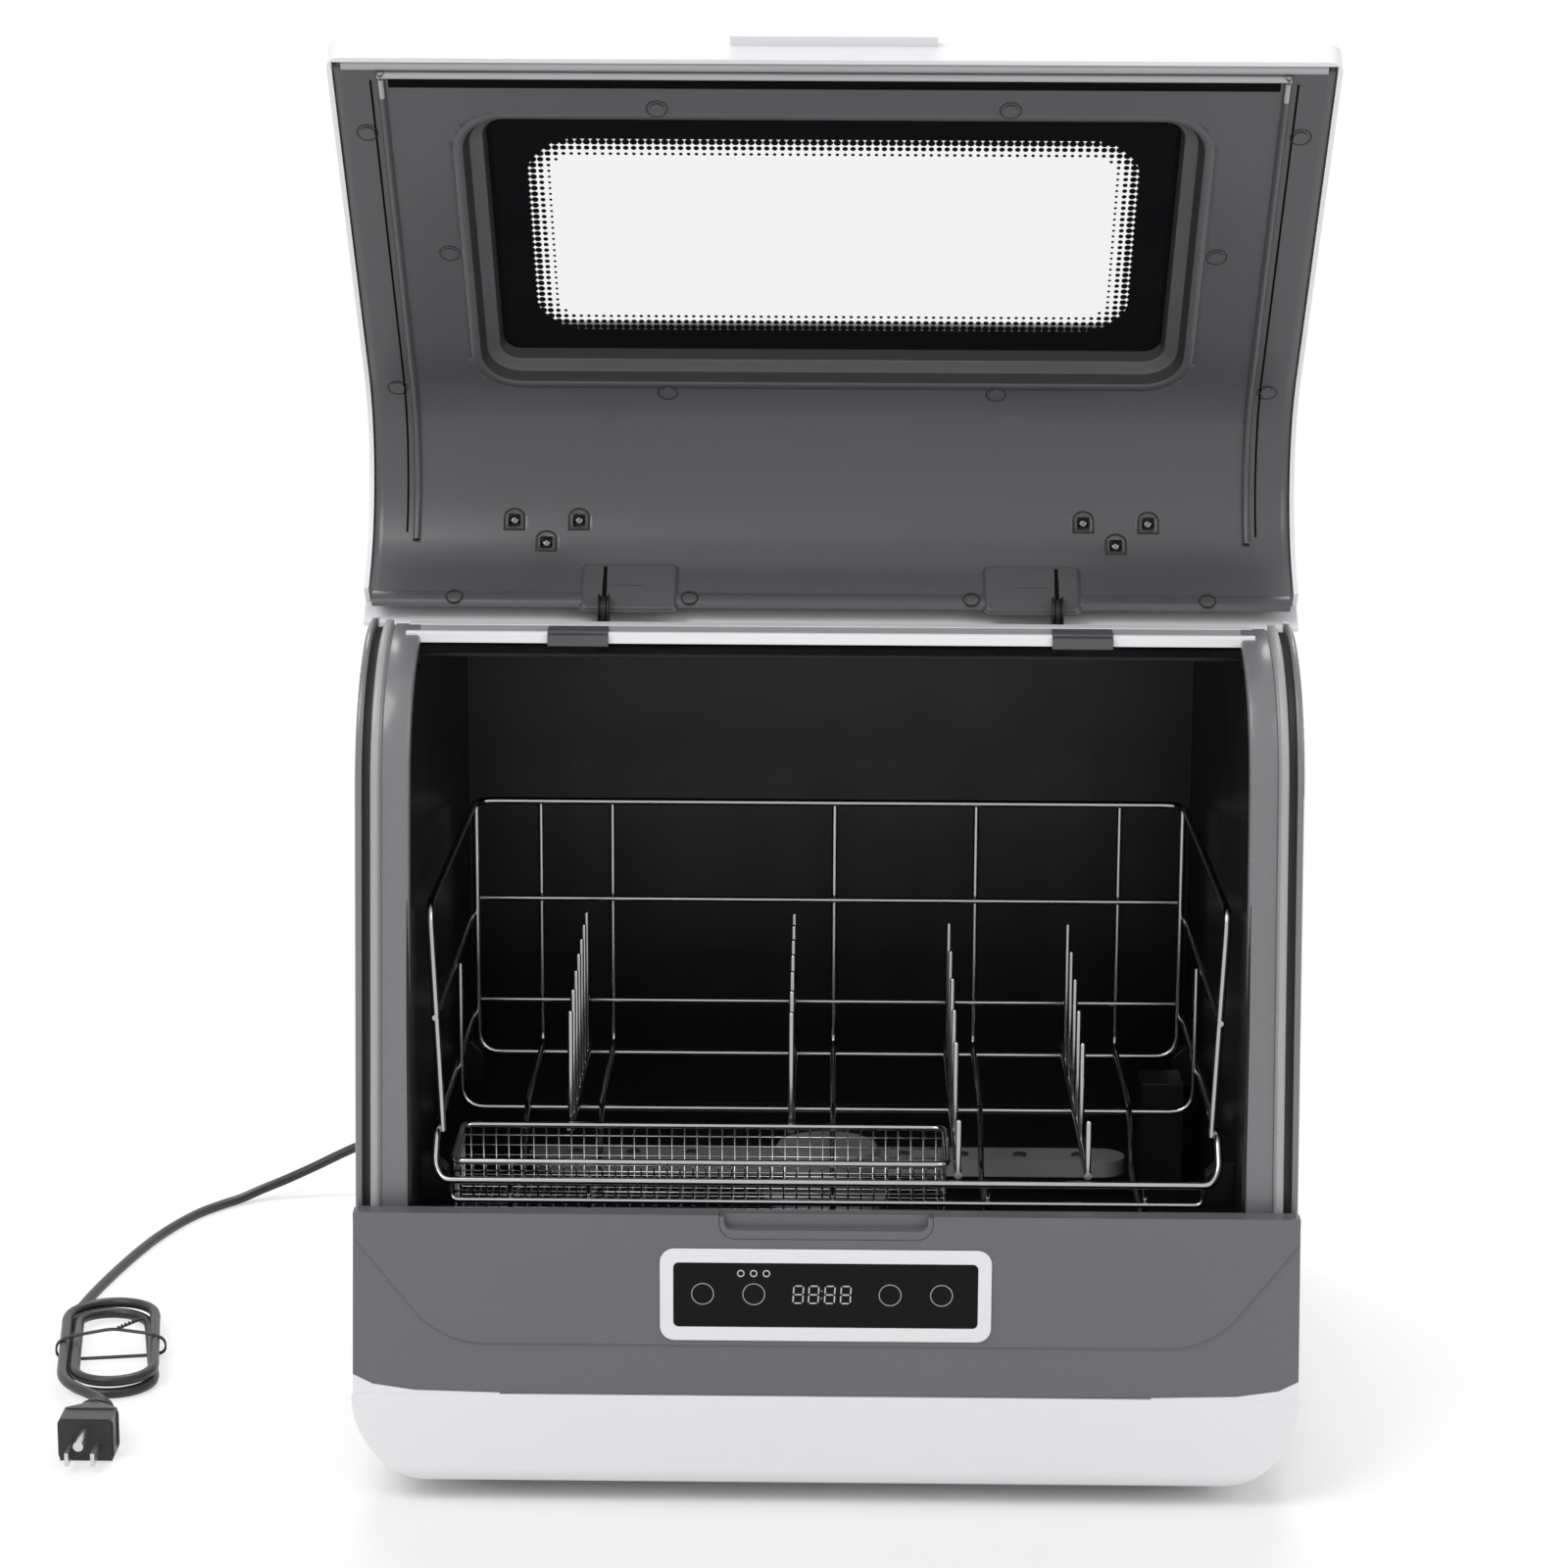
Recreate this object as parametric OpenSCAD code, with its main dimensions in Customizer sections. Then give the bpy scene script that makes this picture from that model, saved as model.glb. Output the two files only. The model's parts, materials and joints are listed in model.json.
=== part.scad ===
// Countertop dishwasher with a top-hinged front lid.
// X runs to the right, Y to the rear and Z up; the origin is at floor level, mid width and mid depth.

/* [Body] */
// Width of the body at floor level
body_w = 455; // [430:1:480]
// Width of the body at the top
top_w = 440; // [420:1:455]
// Depth of the body from front panel to rear cover
body_d = 410; // [390:1:450]
// Height of the closed machine
body_h = 432; // [425:1:440]
// Height of the top edge of the front panel
panel_top = 148; // [140:1:152]
// Height where the white base meets the front panel
base_top = 57; // [50:1:62]
// Wall thickness of the moulded covers
wall = 3; // [2.5:0.1:4]

/* [Lid] */
// Outer radius of the curved top front corner
lid_r = 80; // [70:1:88]
// Thickness of the lid from shell to liner
lid_t = 12; // [11:0.5:12]
// Angle through which the lid opens
lid_open = 141; // [120:1:145]
// Width of the window glass
glass_w = 319; // [280:1:330]
// Height of the window glass
glass_h = 150; // [110:1:152]

/* [Wash chamber] */
// Width left beside the tub cavity on each side
tub_margin = 22; // [21:1:30]
// Height of the tub floor
tub_floor = 100; // [96:1:104]
// Length of the spray arm
arm_len = 308; // [260:1:312]

/* [Rack] */
// Diameter of the thick rack wire
wire_d = 4; // [3:0.5:5]
// Gap between the rack and the tub wall
rack_gap = 11; // [10:1:22]
// Height of the rack rim
rack_top = 286; // [270:1:300]

/* [Hidden] */

$fn = 48;
eps = 0.01;
hinge_x = 110;
front = -body_d / 2;
rear = body_d / 2;
// Side draft: half width at a height
half_base = body_w / 2;
half_top = top_w / 2;
tub_half = half_top - tub_margin;
rack_half = tub_half - rack_gap;
function half_at(z) = half_base - (half_base - half_top) * z / body_h;
// Centre of the corner arc and hinge axis, measured from the front plane
arc_y = front + lid_r;
arc_z = body_h - lid_r;
hinge_y = front + 104;
hinge_z = body_h - lid_t;
hinge_r = lid_t;
lid_edge = panel_top + 2;
rim = 3.2;
skin = 2.5;
frame_in = tub_half + 3.3;
strip_x = tub_half + 15;
strip_w = 5;
sill_z = 142;
tub_back = front + 335;
tub_top = body_h - 32;
tub_t = 2;
tub_face = 18;
deck_y = front + 142;
fan_z = body_h - 92;
tower_x = rack_half - 23;
tower_y = front + 198;
tower_w = 22;
tower_d = 26;
notch_w = 102;
notch_h = 12;
// Rack stations, measured along Y
rack_front = front + 35;
rack_post = front + 55;
rack_mid = front + 155;
rack_back = front + 256;
floor_z = 153;
dip_z = 131;
floor_x = [34 - rack_half, -115, 3, 78, rack_half - 33];
basket_l = 6 - rack_half;
basket_r = 58;
basket_f = front + 42;
basket_b = front + 100;
basket_z0 = 132.8;
basket_z1 = 160;
arm_y = front + 175;
arm_z = 115;
glass_mid = panel_top + 113.5;
ctrl_z = 108.5;
ctrl_w = 158;
ctrl_h = 46;

// Fully opened lid is the rest pose: everything on the lid is drawn through this move
module lid_pose() {
    translate([0, hinge_y, hinge_z]) rotate([-lid_open, 0, 0]) translate([0, -hinge_y, -hinge_z]) children();
}

// A 2D outline in (Y, Z) drawn out along X
module along_x(w, x = 0) {
    translate([x - w / 2, 0, 0]) rotate([90, 0, 90]) linear_extrude(w) children();
}

// A 2D outline in (X, Z) drawn out along +Y from y
module along_y(y, d) {
    translate([0, y + d, 0]) rotate([90, 0, 0]) linear_extrude(d) children();
}

// The drafted front outline of the body, inset on both sides
module drafted(inset, z0, z1) {
    along_y(front - 60, body_d + 120)
        polygon([[-half_at(z0) + inset, z0], [half_at(z0) - inset, z0],
            [half_at(z1) - inset, z1], [-half_at(z1) + inset, z1]]);
}

module rounded_rect(w, h, r) {
    hull() for (x = [-1, 1], y = [-1, 1]) translate([x * (w / 2 - r), y * (h / 2 - r)]) circle(r);
}

// Band between two depths below the closed lid surface
module lid_band(o1, o2, z0, y1) {
    if (y1 >= hinge_y) whole_band(o1, o2, z0);
    else intersection() {
        whole_band(o1, o2, z0);
        translate([front - 1, z0 - 1]) square([y1 - front + 1, body_h - z0 + 3]);
    }
}

module whole_band(o1, o2, z0) {
    union() {
        translate([front + o1, z0]) square([o2 - o1, arc_z - z0]);
        difference() {
            intersection() {
                translate([arc_y, arc_z]) circle(lid_r - o1, $fn = 96);
                translate([arc_y - lid_r, arc_z]) square([lid_r, lid_r]);
            }
            translate([arc_y, arc_z]) circle(lid_r - o2, $fn = 96);
        }
        translate([arc_y, body_h - o2]) square([hinge_y - arc_y, o2 - o1]);
    }
}

// Everything behind a depth below the closed lid surface
module behind_line(o, z0, y1, z1) {
    union() {
        translate([front + o, z0]) square([y1 - front - o, arc_z - z0]);
        intersection() {
            translate([arc_y, arc_z]) circle(lid_r - o, $fn = 96);
            translate([arc_y - lid_r, arc_z]) square([lid_r, min(lid_r, z1 - arc_z)]);
        }
        translate([arc_y, arc_z]) square([y1 - arc_y, z1 - arc_z]);
    }
}

// A round rod between two points
module rod(p, q, d) {
    v = q - p;
    l = norm(v);
    translate(p) rotate([0, acos(v[2] / l), atan2(v[1], v[0])]) cylinder(h = l, d = d, $fn = 24);
}

// Rods along a list of points with ball joints between them
module wire(pts, d, ball = 0.1) {
    for (i = [0:len(pts) - 2]) rod(pts[i], pts[i + 1], d);
    for (i = [1:len(pts) - 2]) translate(pts[i]) sphere(d = d + ball, $fn = 24);
}

// ---- covers -------------------------------------------------------------

base_z = 10;
base_r = 45;
// Front outline of the base with its big lower corners
module base_outline(inset) {
    h0 = half_at(base_z) - inset;
    h1 = half_at(base_top) - inset;
    hull() {
        for (s = [-1, 1]) translate([s * (h0 - base_r), base_z + base_r]) intersection() {
            circle(base_r - 0);
            translate([-100, -100]) square([200, 100]);
        }
        translate([-h1, base_top - 1]) square([2 * h1, 1]);
    }
}

module base_tray() color("whitesmoke") {
    difference() {
        intersection() {
            along_y(front, body_d) base_outline(0);
            along_x(body_w + 10) hull() {
                translate([front + 10, base_z + 10]) circle(10);
                translate([rear - 10, base_z + 10]) circle(10);
                translate([front, base_top - 1]) square([body_d, 1]);
            }
        }
        intersection() {
            along_y(front + wall, body_d - 2 * wall) translate([0, wall]) base_outline(wall);
            along_x(body_w) translate([front + wall, base_z + wall]) square([body_d - 2 * wall, 100]);
        }
        for (i = [-6:6]) translate([i * 12 - 2, -60, 0]) cube([4, 120, 30]);
    }
    for (x = [-150, 150], y = [-130, 130]) translate([x, y, base_z + wall - 1]) cylinder(h = 30, d = 10);
}

module feet() color("dimgray") {
    for (x = [-155, 155], y = [-150, 150]) translate([x, y, 0]) {
        cylinder(h = base_z, d = 34);
        translate([0, 0, 0.8]) cylinder(h = 4, d = 38);
    }
}

// Front outline of the grey panel; its lower corners sweep up at the sides
module panel_outline(inset) {
    h0 = half_at(base_top) - inset;
    h1 = half_at(panel_top) - inset;
    polygon([[-h0, base_top + 9], [-h0 + 10, base_top + 3.5], [-h0 + 30, base_top + 1],
        [-h0 + 70, base_top + 0.3], [h0 - 70, base_top + 0.3], [h0 - 30, base_top + 1],
        [h0 - 10, base_top + 3.5], [h0, base_top + 9], [h1, panel_top], [-h1, panel_top]]);
}

module front_panel() color("dimgray") difference() {
    union() {
        along_y(front + 1, wall - 1) panel_outline(0);
        // raised field whose edge makes the crescent crease
        along_y(front, 1 + eps) intersection() {
            hull() {
                for (s = [-1, 1]) translate([s * (205 - 42), 83 + 42]) circle(42, $fn = 64);
                translate([-half_at(panel_top), panel_top - 12]) square([2 * half_at(panel_top), 12]);
            }
            panel_outline(0);
        }
        intersection() {
            for (s = [-1, 1]) translate([s * (half_base - wall / 2) - wall / 2, front + 1, base_top + 9])
                cube([wall, 8, panel_top - base_top - 9]);
            drafted(0, 0, body_h);
        }
        translate([-half_at(panel_top) + wall, front + 1, panel_top - 2]) cube([2 * half_at(panel_top) - 2 * wall, 9, 2]);
    }
    translate([0, 0, panel_top]) along_y(front - 1, 8) rounded_rect(notch_w, 2 * notch_h, 8);
    translate([0, 0, ctrl_z]) along_y(front - 1, 10) rounded_rect(ctrl_w - 6, ctrl_h - 6, 5);
}

// Insert that lines the finger notch of the panel
module finger_notch() color("gray") difference() {
    translate([0, 0, panel_top]) along_y(front + 0.4, 6.4) rounded_rect(notch_w - 0.4, 2 * notch_h - 0.4, 7.8);
    translate([0, 0, panel_top]) along_y(front - 1, 6.4) rounded_rect(notch_w - 5, 2 * notch_h - 9, 4);
    translate([-100, front - 10, panel_top - 0.8]) cube([200, 40, 40]);
}

module control_frame() color("white") difference() {
    union() {
        translate([0, 0, ctrl_z]) along_y(front - 1, 1) rounded_rect(ctrl_w, ctrl_h, 7);
        translate([0, 0, ctrl_z]) along_y(front - 1, 6) rounded_rect(ctrl_w - 6.4, ctrl_h - 6.4, 4.8);
    }
    translate([0, 0, ctrl_z]) along_y(front - 2, 3) rounded_rect(ctrl_w - 13, ctrl_h - 14, 2.6);
    translate([0, 0, ctrl_z]) along_y(front - 2, 20) rounded_rect(ctrl_w - 17, ctrl_h - 18, 2);
}

module control_glass() color("black")
    translate([0, 0, ctrl_z]) along_y(front - 0.8, 1.8) rounded_rect(ctrl_w - 13, ctrl_h - 14, 2.5);

module control_board() color("darkgreen") {
    translate([-72, front + 8, ctrl_z - 15]) cube([144, 1.6, 30]);
    for (x = [-70, 70]) translate([x, front + 5, ctrl_z - 10]) rotate([-90, 0, 0]) cylinder(h = 3, d = 4);
    translate([-20, front + 9.6, ctrl_z - 8]) cube([22, 3, 14]);
}

module display_module() color("black") {
    translate([-14, front + 1.2, ctrl_z - 8]) cube([28, 6.8, 16]);
}

touch_x = [-58, -34, 31, 55];
module touch_springs() color("silver") {
    for (x = touch_x) translate([x, front + 1.2, ctrl_z - 0.5]) rotate([-90, 0, 0]) {
        difference() {
            cylinder(h = 6.8, d = 11);
            translate([0, 0, 0.8]) cylinder(h = 7, d = 9.4);
        }
    }
}

// Moulded side with an inward front return that carries the opening frame
module side(s) {
    intersection() {
        difference() {
            drafted(0, 0, body_h);
            drafted(wall, -10, body_h + 10);
        }
        along_x(240, s * 120) difference() {
            behind_line(lid_t + 0.4, base_top + 0.3, rear - 0.3, body_h - lid_t - 0.4);
            translate([deck_y - 29, body_h - 26]) square([330, 40]);
            translate([hinge_y, hinge_z]) circle(hinge_r + 1);
        }
    }
}

module side_left() color("whitesmoke") side(-1);
module side_right() color("whitesmoke") side(1);

module top_cover() color("whitesmoke") difference() {
    intersection() {
        drafted(0, 0, body_h);
        along_x(body_w) polygon([[deck_y, body_h], [rear - 20, body_h],
            for (a = [82.5:-7.5:7.5]) [rear - 20 + 20 * cos(a), body_h - 20 + 20 * sin(a)],
            [rear, body_h - 20], [rear, body_h - 25.7], [deck_y - 28.7, body_h - 25.7]]);
    }
    intersection() {
        drafted(wall, 0, body_h);
        along_x(body_w) polygon([[deck_y + 1, body_h - wall], [rear - 21, body_h - wall],
            [rear - wall, body_h - 21], [rear - wall, body_h - 40], [deck_y - 30, body_h - 40],
            [deck_y - 24, body_h - 25.7]]);
    }
    translate([120, rear - 45, body_h - 10]) cylinder(h = 20, d = 46);
}

module rear_cover() color("whitesmoke") difference() {
    translate([-half_at(0) + wall + 0.5, rear - wall, base_top + 0.4]) cube([2 * half_at(0) - 2 * wall - 1, wall, body_h - 26.4 - base_top - 0.4]);
    drafted_outside();
    for (i = [0:9]) translate([-150 + i * 10, rear - 5, fan_z - 40]) cube([4, 10, 70]);
    translate([150, rear - 5, 80]) rotate([-90, 0, 0]) cylinder(h = 10, d = 26);
    translate([-150, rear - 5, 75]) rotate([-90, 0, 0]) cylinder(h = 10, d = 16);
}

module drafted_outside() difference() {
    translate([-300, rear - 10, 0]) cube([600, 20, 500]);
    drafted(wall + 0.3, -1, body_h + 60);
}

// ---- opening frame and tub ----------------------------------------------

module opening_frame() color("lightgray") {
    intersection() {
        drafted(wall + 0.05, -1, body_h + 1);
        for (s = [-1, 1]) {
            // wide band beside the tub
            along_x(strip_x - frame_in, s * (strip_x + frame_in) / 2)
                lid_band(tub_face - 3, tub_face, tub_floor - 20, hinge_y - 16);
            // raised strip outside it
            along_x(strip_w, s * (strip_x + strip_w / 2)) lid_band(lid_t + 0.8, tub_face, tub_floor - 20, hinge_y - 16);
            // thin web that reaches the side wall at the bottom of the groove
            along_x(10, s * (strip_x + strip_w + 5)) lid_band(tub_face - 1.5, tub_face, base_top + 10, hinge_y - 16);
        }
    }
    // sill between the posts, hidden behind the front panel
    translate([-strip_x - 1, front + 10.4, sill_z - 10]) cube([2 * strip_x + 2, 4.2, 8]);
}

module cross_bar() color("white") {
    y0 = front + 62;
    difference() {
        translate([0, 0, tub_top]) along_x(2 * (frame_in - 0.5)) polygon([[y0 + 2, 4], [y0 + 6, 0.5], [y0 + 26, 0.5],
            [y0 + 25, 4], [y0 + 19, 5], [y0 + 19, 14], [y0 + 10, 14], [y0 + 4, 11]]);
        for (s = [-1, 1]) translate([s * hinge_x - 5, y0 + 15, tub_top + 2]) cube([10, 30, 30]);
    }
}

module tub() color([0.11, 0.11, 0.12]) difference() {
    union() {
        along_x(2 * (tub_half + tub_t)) behind_line(tub_face - 3, tub_floor - tub_t, tub_back + tub_t, tub_top + tub_t);
        // flange behind the wide band of the frame
        for (s = [-1, 1]) along_x(strip_x - tub_half, s * (strip_x + tub_half) / 2)
            lid_band(tub_face, tub_face + 2, tub_floor - 20, hinge_y - 16);
    }
    along_x(2 * tub_half) difference() {
        behind_line(0, tub_floor, tub_back, tub_top);
        translate([front - 1, tub_floor - 1]) square([tub_face, sill_z - tub_floor + 1]);
    }
    // sump opening, spray hub hole and filter opening
    translate([0, arm_y, tub_floor - 10]) cylinder(h = 20, d = 60);
    translate([tower_x - 1, tower_y - 1, tub_floor - 10]) cube([tower_w + 2, tower_d + 2, 20]);
    // float guide hole
    translate([-170, front + 60, tub_floor - 10]) cylinder(h = 20, d = 10);
    // drying air outlet
    translate([-130, tub_back - 10, fan_z]) rotate([-90, 0, 0]) cylinder(h = 20, d = 40);
    // clearance above the front top edge
    translate([-tub_half - 3.1, front, tub_top - 4]) cube([2 * (tub_half + 3.1), 89, 24]);
}

module hinge_brackets() color("gray") for (s = [-1, 1]) difference() {
    union() {
        for (d = [-1, 1]) translate([s * hinge_x + d * 9 - 1, hinge_y, 0]) {
            translate([0, 0, hinge_z]) rotate([0, 90, 0]) cylinder(h = 2, d = 17);
            translate([0, -8.3, tub_top + tub_t]) cube([2, 7, hinge_z - tub_top - tub_t]);
        }
        translate([s * hinge_x - 10, hinge_y - 8.3, tub_top + tub_t]) cube([20, 20, 1.5]);
    }
    translate([s * hinge_x - 20, hinge_y, hinge_z]) rotate([0, 90, 0]) cylinder(h = 40, d = 5);
}

module hinge_pins() color("silver") for (s = [-1, 1])
    translate([s * hinge_x - 12, hinge_y, hinge_z]) rotate([0, 90, 0]) cylinder(h = 24, d = 4.98);

// Spring clips that damp the lid, standing on the cross bar
module hinge_springs() color("gray") for (s = [-1, 1]) difference() {
    translate([s * (hinge_x + 12) - 13, front + 61.4, tub_top + 1]) cube([26, 2.5, 9]);
    translate([s * (hinge_x + 12) - 7, front + 50, tub_top + 3.5]) cube([14, 20, 4]);
}

// ---- lid ----------------------------------------------------------------

// Stands children on the liner, pointing inwards, at a distance from the lid edge along the surface
module on_liner(x, along, depth) {
    flat = arc_z - lid_edge;
    if (along <= flat) translate([x, front + depth, lid_edge + along]) rotate([-90, 0, 0]) children();
    else translate([x, arc_y, arc_z]) rotate([-(along - flat) / lid_r * 180 / PI, 0, 0])
        translate([0, depth - lid_r, 0]) rotate([-90, 0, 0]) children();
}

lid_end = hinge_y;
module window_hole(grow, y0, d) {
    translate([0, 0, glass_mid]) along_y(front + y0, d)
        rounded_rect(glass_w + grow, glass_h + grow, 9);
}

module lid_outer() color("whitesmoke") lid_pose() difference() {
    union() {
        along_x(body_w) lid_band(0, skin, lid_edge, lid_end);
        // side walls, as wide as the foot of the body
        difference() {
            along_x(body_w) lid_band(0, lid_t, lid_edge, hinge_y - 14);
            translate([rim - 1 - body_w / 2, front - 10, 0]) cube([body_w + 2 - 2 * rim, body_d, body_h + 10]);
        }
        translate([-body_w / 2, front, lid_edge]) cube([body_w, lid_t, skin]);
        // finger tab that sits in the notch of the front panel
        translate([-(notch_w - 9) / 2, front + 0.2, lid_edge - 5.5]) cube([notch_w - 9, 2.4, 8]);
        // rolled lip round the hinge axis
        intersection() {
            drafted(wall + 1.5, 0, body_h + 1);
            along_x(body_w) difference() {
                translate([hinge_y, hinge_z]) circle(hinge_r);
                translate([hinge_y, hinge_z]) circle(hinge_r - skin);
                translate([hinge_y - 20, hinge_z - 20]) square([20, 40]);
                translate([hinge_y - 20, hinge_z - 20]) square([40, 20]);
            }
        }
    }
    for (s = [-1, 1]) translate([s * hinge_x - 13, hinge_y - 12, hinge_z - 20]) cube([26, 40, 29.3]);
    window_hole(-18, -5, 12);
    // rounded corners of the free edge
    for (s = [-1, 1]) translate([s * (body_w / 2 - 6), front - 5, lid_edge + 6]) rotate([-90, 0, 0]) difference() {
        translate([s * 5 - 5, 0, 0]) cube([10, 10, 40]);
        translate([0, 0, -1]) cylinder(h = 42, r = 6);
    }
}

module lid_liner() color("gray") lid_pose() difference() {
    union() {
        along_x(body_w - 2 * rim) lid_band(lid_t - skin, lid_t, lid_edge + skin + 3, hinge_y - 14);
        // seat for the window glass
        difference() {
            window_hole(22, skin + 0.05, lid_t - skin - 1);
            window_hole(0.6, -5, 40);
        }
    }
    window_hole(0.6, -5, 40);
    for (s = [-1, 1]) translate([s * hinge_x - 5, hinge_y - 34, hinge_z - 5]) cube([10, 40, 12]);
}

module lid_glass() color("black") lid_pose() window_hole(0, 5, 4);

module lid_glass_seal() color([0.2, 0.2, 0.2]) lid_pose() difference() {
    window_hole(0.5, skin + 0.1, 2.35);
    window_hole(-14, -5, 40);
}

// Raised seal rib round the opening side of the lid
module lid_seal() color("dimgray") lid_pose() {
    difference() {
        along_x(410) lid_band(lid_t + 0.05, lid_t + 2.6, lid_edge + 8, front + 56);
        along_x(402) lid_band(0, 40, lid_edge + 11.5, front + 70);
    }
}

// Plug places on the liner: half spacing and distance from the lid edge along the surface
plug_spots = [[80, 29.3], [212.3, 44.5], [180, 120], [211.8, 211.5], [80, 214]];
module lid_plugs() color("gray") lid_pose() for (p = plug_spots, s = [-1, 1])
    on_liner(s * p[0], p[1], lid_t + 0.12) cylinder(h = 0.6, d = 6.4);

// Fixing screws of the lid, three at each hinge
screw_spots = [[124, 291.5], [156, 291.5], [140, 305.2]];
module lid_screws() color("silver") lid_pose() for (p = screw_spots, s = [-1, 1])
    on_liner(s * p[0], p[1], lid_t + 0.12) cylinder(h = 1.6, d = 5.6);

module hinge_covers() color("lightgray") lid_pose() for (s = [-1, 1]) difference() {
    along_x(46, s * 98) intersection() {
        lid_band(lid_t + 0.05, lid_t + 3, lid_edge, hinge_y - 9);
        translate([front + 74, body_h - 52]) square([40, 60]);
    }
    translate([s * hinge_x - 3.5, hinge_y - 36, hinge_z - 8]) cube([7, 46, 16]);
}

module hinge_arms() color("black") lid_pose() for (s = [-1, 1]) difference() {
    union() {
        translate([s * hinge_x - 3, hinge_y, hinge_z]) rotate([0, 90, 0]) cylinder(h = 6, d = 15);
        translate([s * hinge_x - 3, hinge_y - 34, hinge_z - 2.5]) cube([6, 36, 9]);
    }
    translate([s * hinge_x - 20, hinge_y, hinge_z]) rotate([0, 90, 0]) cylinder(h = 40, d = 5.08);
}

module lid_magnet() color("silver") lid_pose()
    translate([170, front + skin + 0.02, lid_edge + 8]) cube([14, 6.4, 6]);

module reed_switch() color("darkgreen")
    translate([166, front + 12.3, sill_z - 30]) cube([22, 2.5, 14]);

// ---- rack and basket ----------------------------------------------------

module hoop(y, top, d) {
    wire([[-rack_half, y, top], [-rack_half, y, floor_z + 6], [-rack_half + 6, y, floor_z],
        [rack_half - 6, y, floor_z], [rack_half, y, floor_z + 6], [rack_half, y, top]], d);
}

module rack_frame() color("silver") {
    for (s = [-1, 1]) rod([s * rack_half, rack_post, 171.6], [s * rack_half, rack_post, rack_top - 2], 3.6);
    hoop(rack_mid, 230, 3);
    hoop(rack_back, rack_top + 5, wire_d);
    side = rack_half + 2.6;
    for (s = [-1, 1]) {
        rod([s * rack_half, rack_post, rack_top - 2], [s * rack_half, rack_back, rack_top + 5], wire_d);
        rod([s * side, rack_post - 0.7, 229], [s * side, rack_back + 0.8, 229], 3);
    }
    // low side rails that bend down into the front bumper
    wire([[-side, rack_back + 0.8, 174], [-side, rack_post - 3, 174], [-side, rack_front + 5, 159], [-side + 4, rack_front, floor_z],
        [side - 4, rack_front, floor_z], [side, rack_front + 5, 159], [side, rack_post - 3, 174], [side, rack_back + 0.8, 174]], 3.9, 0.5);
    for (z = [182, 238, rack_top + 5]) rod([-rack_half, rack_back, z], [rack_half, rack_back, z], 3);
    for (s = [-1, 1], y = [rack_post, rack_back]) translate([s * rack_half, y, y > 0 ? rack_top + 5 : rack_top - 2])
        sphere(d = wire_d + 0.1, $fn = 24);
}

module rack_floor() color("silver") {
    step = 3.6;
    for (x = floor_x) wire([[x, rack_back + step, rack_top + 5], [x, rack_back + step, floor_z + step],
        [x, rack_mid - 4, floor_z + step], [x, rack_mid - 34, dip_z],
        [x, rack_front + step, dip_z], [x, rack_front + step, floor_z + 1]], 3);
    lip = rack_half - 5;
    wire([[-lip, rack_front, 150.8], [-lip, rack_front, 143], [lip, rack_front, 143], [lip, rack_front, 150.8]], 3);
}

// One row of upright tines on its own foot wire
module tine_row(x, y0, ys, zs) {
    foot_z = floor_z + 4.3;
    for (i = [0:len(ys) - 1]) rod([x, front + ys[i], foot_z], [x, front + ys[i], zs[i]], 3);
    rod([x, y0, foot_z], [x, rack_back + 2, foot_z], 3.9);
}

plate_y = [240, 218, 196, 174, 152, 130, 108];
plate_z = [235, 234, 232, 230, 227, 223, 218];
bowl_y = [230, 196, 160, 126, 92, 37];
bowl_z = [233, 227, 222, 215, 208, 185];
module tine_row_1() color("silver") tine_row(-128, front + 104, plate_y, plate_z);
module tine_row_2() color("silver") tine_row(-18, front + 104, plate_y, plate_z);
module tine_row_3() color("silver") tine_row(63.5, rack_front, bowl_y, bowl_z);
module tine_row_4() color("silver") tine_row(126, rack_front, bowl_y, bowl_z);

module mesh_sheet(w, h, nx, ny) {
    difference() {
        square([w, h]);
        for (i = [0:nx - 1], j = [0:ny - 1])
            translate([1 + i * (w - 1) / nx, 1 + j * (h - 1) / ny]) square([(w - 1) / nx - 1, (h - 1) / ny - 1]);
    }
}

module cutlery_basket() color("silver") {
    w = basket_r - basket_l;
    d = basket_b - basket_f;
    g = 0.05;
    h = basket_z1 - basket_z0 - 1 - 2 * g;
    translate([basket_l, basket_f, basket_z0]) linear_extrude(1) mesh_sheet(w, d, 20, 5);
    for (y = [basket_f, basket_b - 1]) translate([basket_l, y + 1, basket_z0 + 1 + g]) rotate([90, 0, 0])
        linear_extrude(1) mesh_sheet(w, h, 20, 2);
    for (x = [basket_l, basket_r - 1]) translate([x, basket_f + 1 + g, basket_z0 + 1 + g]) rotate([90, 0, 90])
        linear_extrude(1) mesh_sheet(d - 2 - 2 * g, h, 5, 2);
    // rim of four bars
    for (y = [basket_f - 2, basket_b - 1]) translate([basket_l - 2.5, y, basket_z1]) cube([w + 5, 3, 2]);
    for (x = [basket_l - 2.5, basket_r - 0.5]) translate([x, basket_f + 1 + g, basket_z1]) cube([3, d - 2 - 2 * g, 2]);
}

// ---- wash system --------------------------------------------------------

module spray_arm() color("gray") {
    translate([0, arm_y, arm_z]) difference() {
        union() {
            hull() for (s = [-1, 1]) translate([s * (arm_len / 2 - 12), 0, 0]) cylinder(h = 8, d = 24);
            cylinder(h = 12, d = 52);
        }
        translate([0, 0, -1]) cylinder(h = 9, d = 20.1);
        for (x = [-130, -100, -70, 40, 70, 100, 130]) translate([x, 0, 3]) cylinder(h = 10, d = 3);
    }
}

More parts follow.
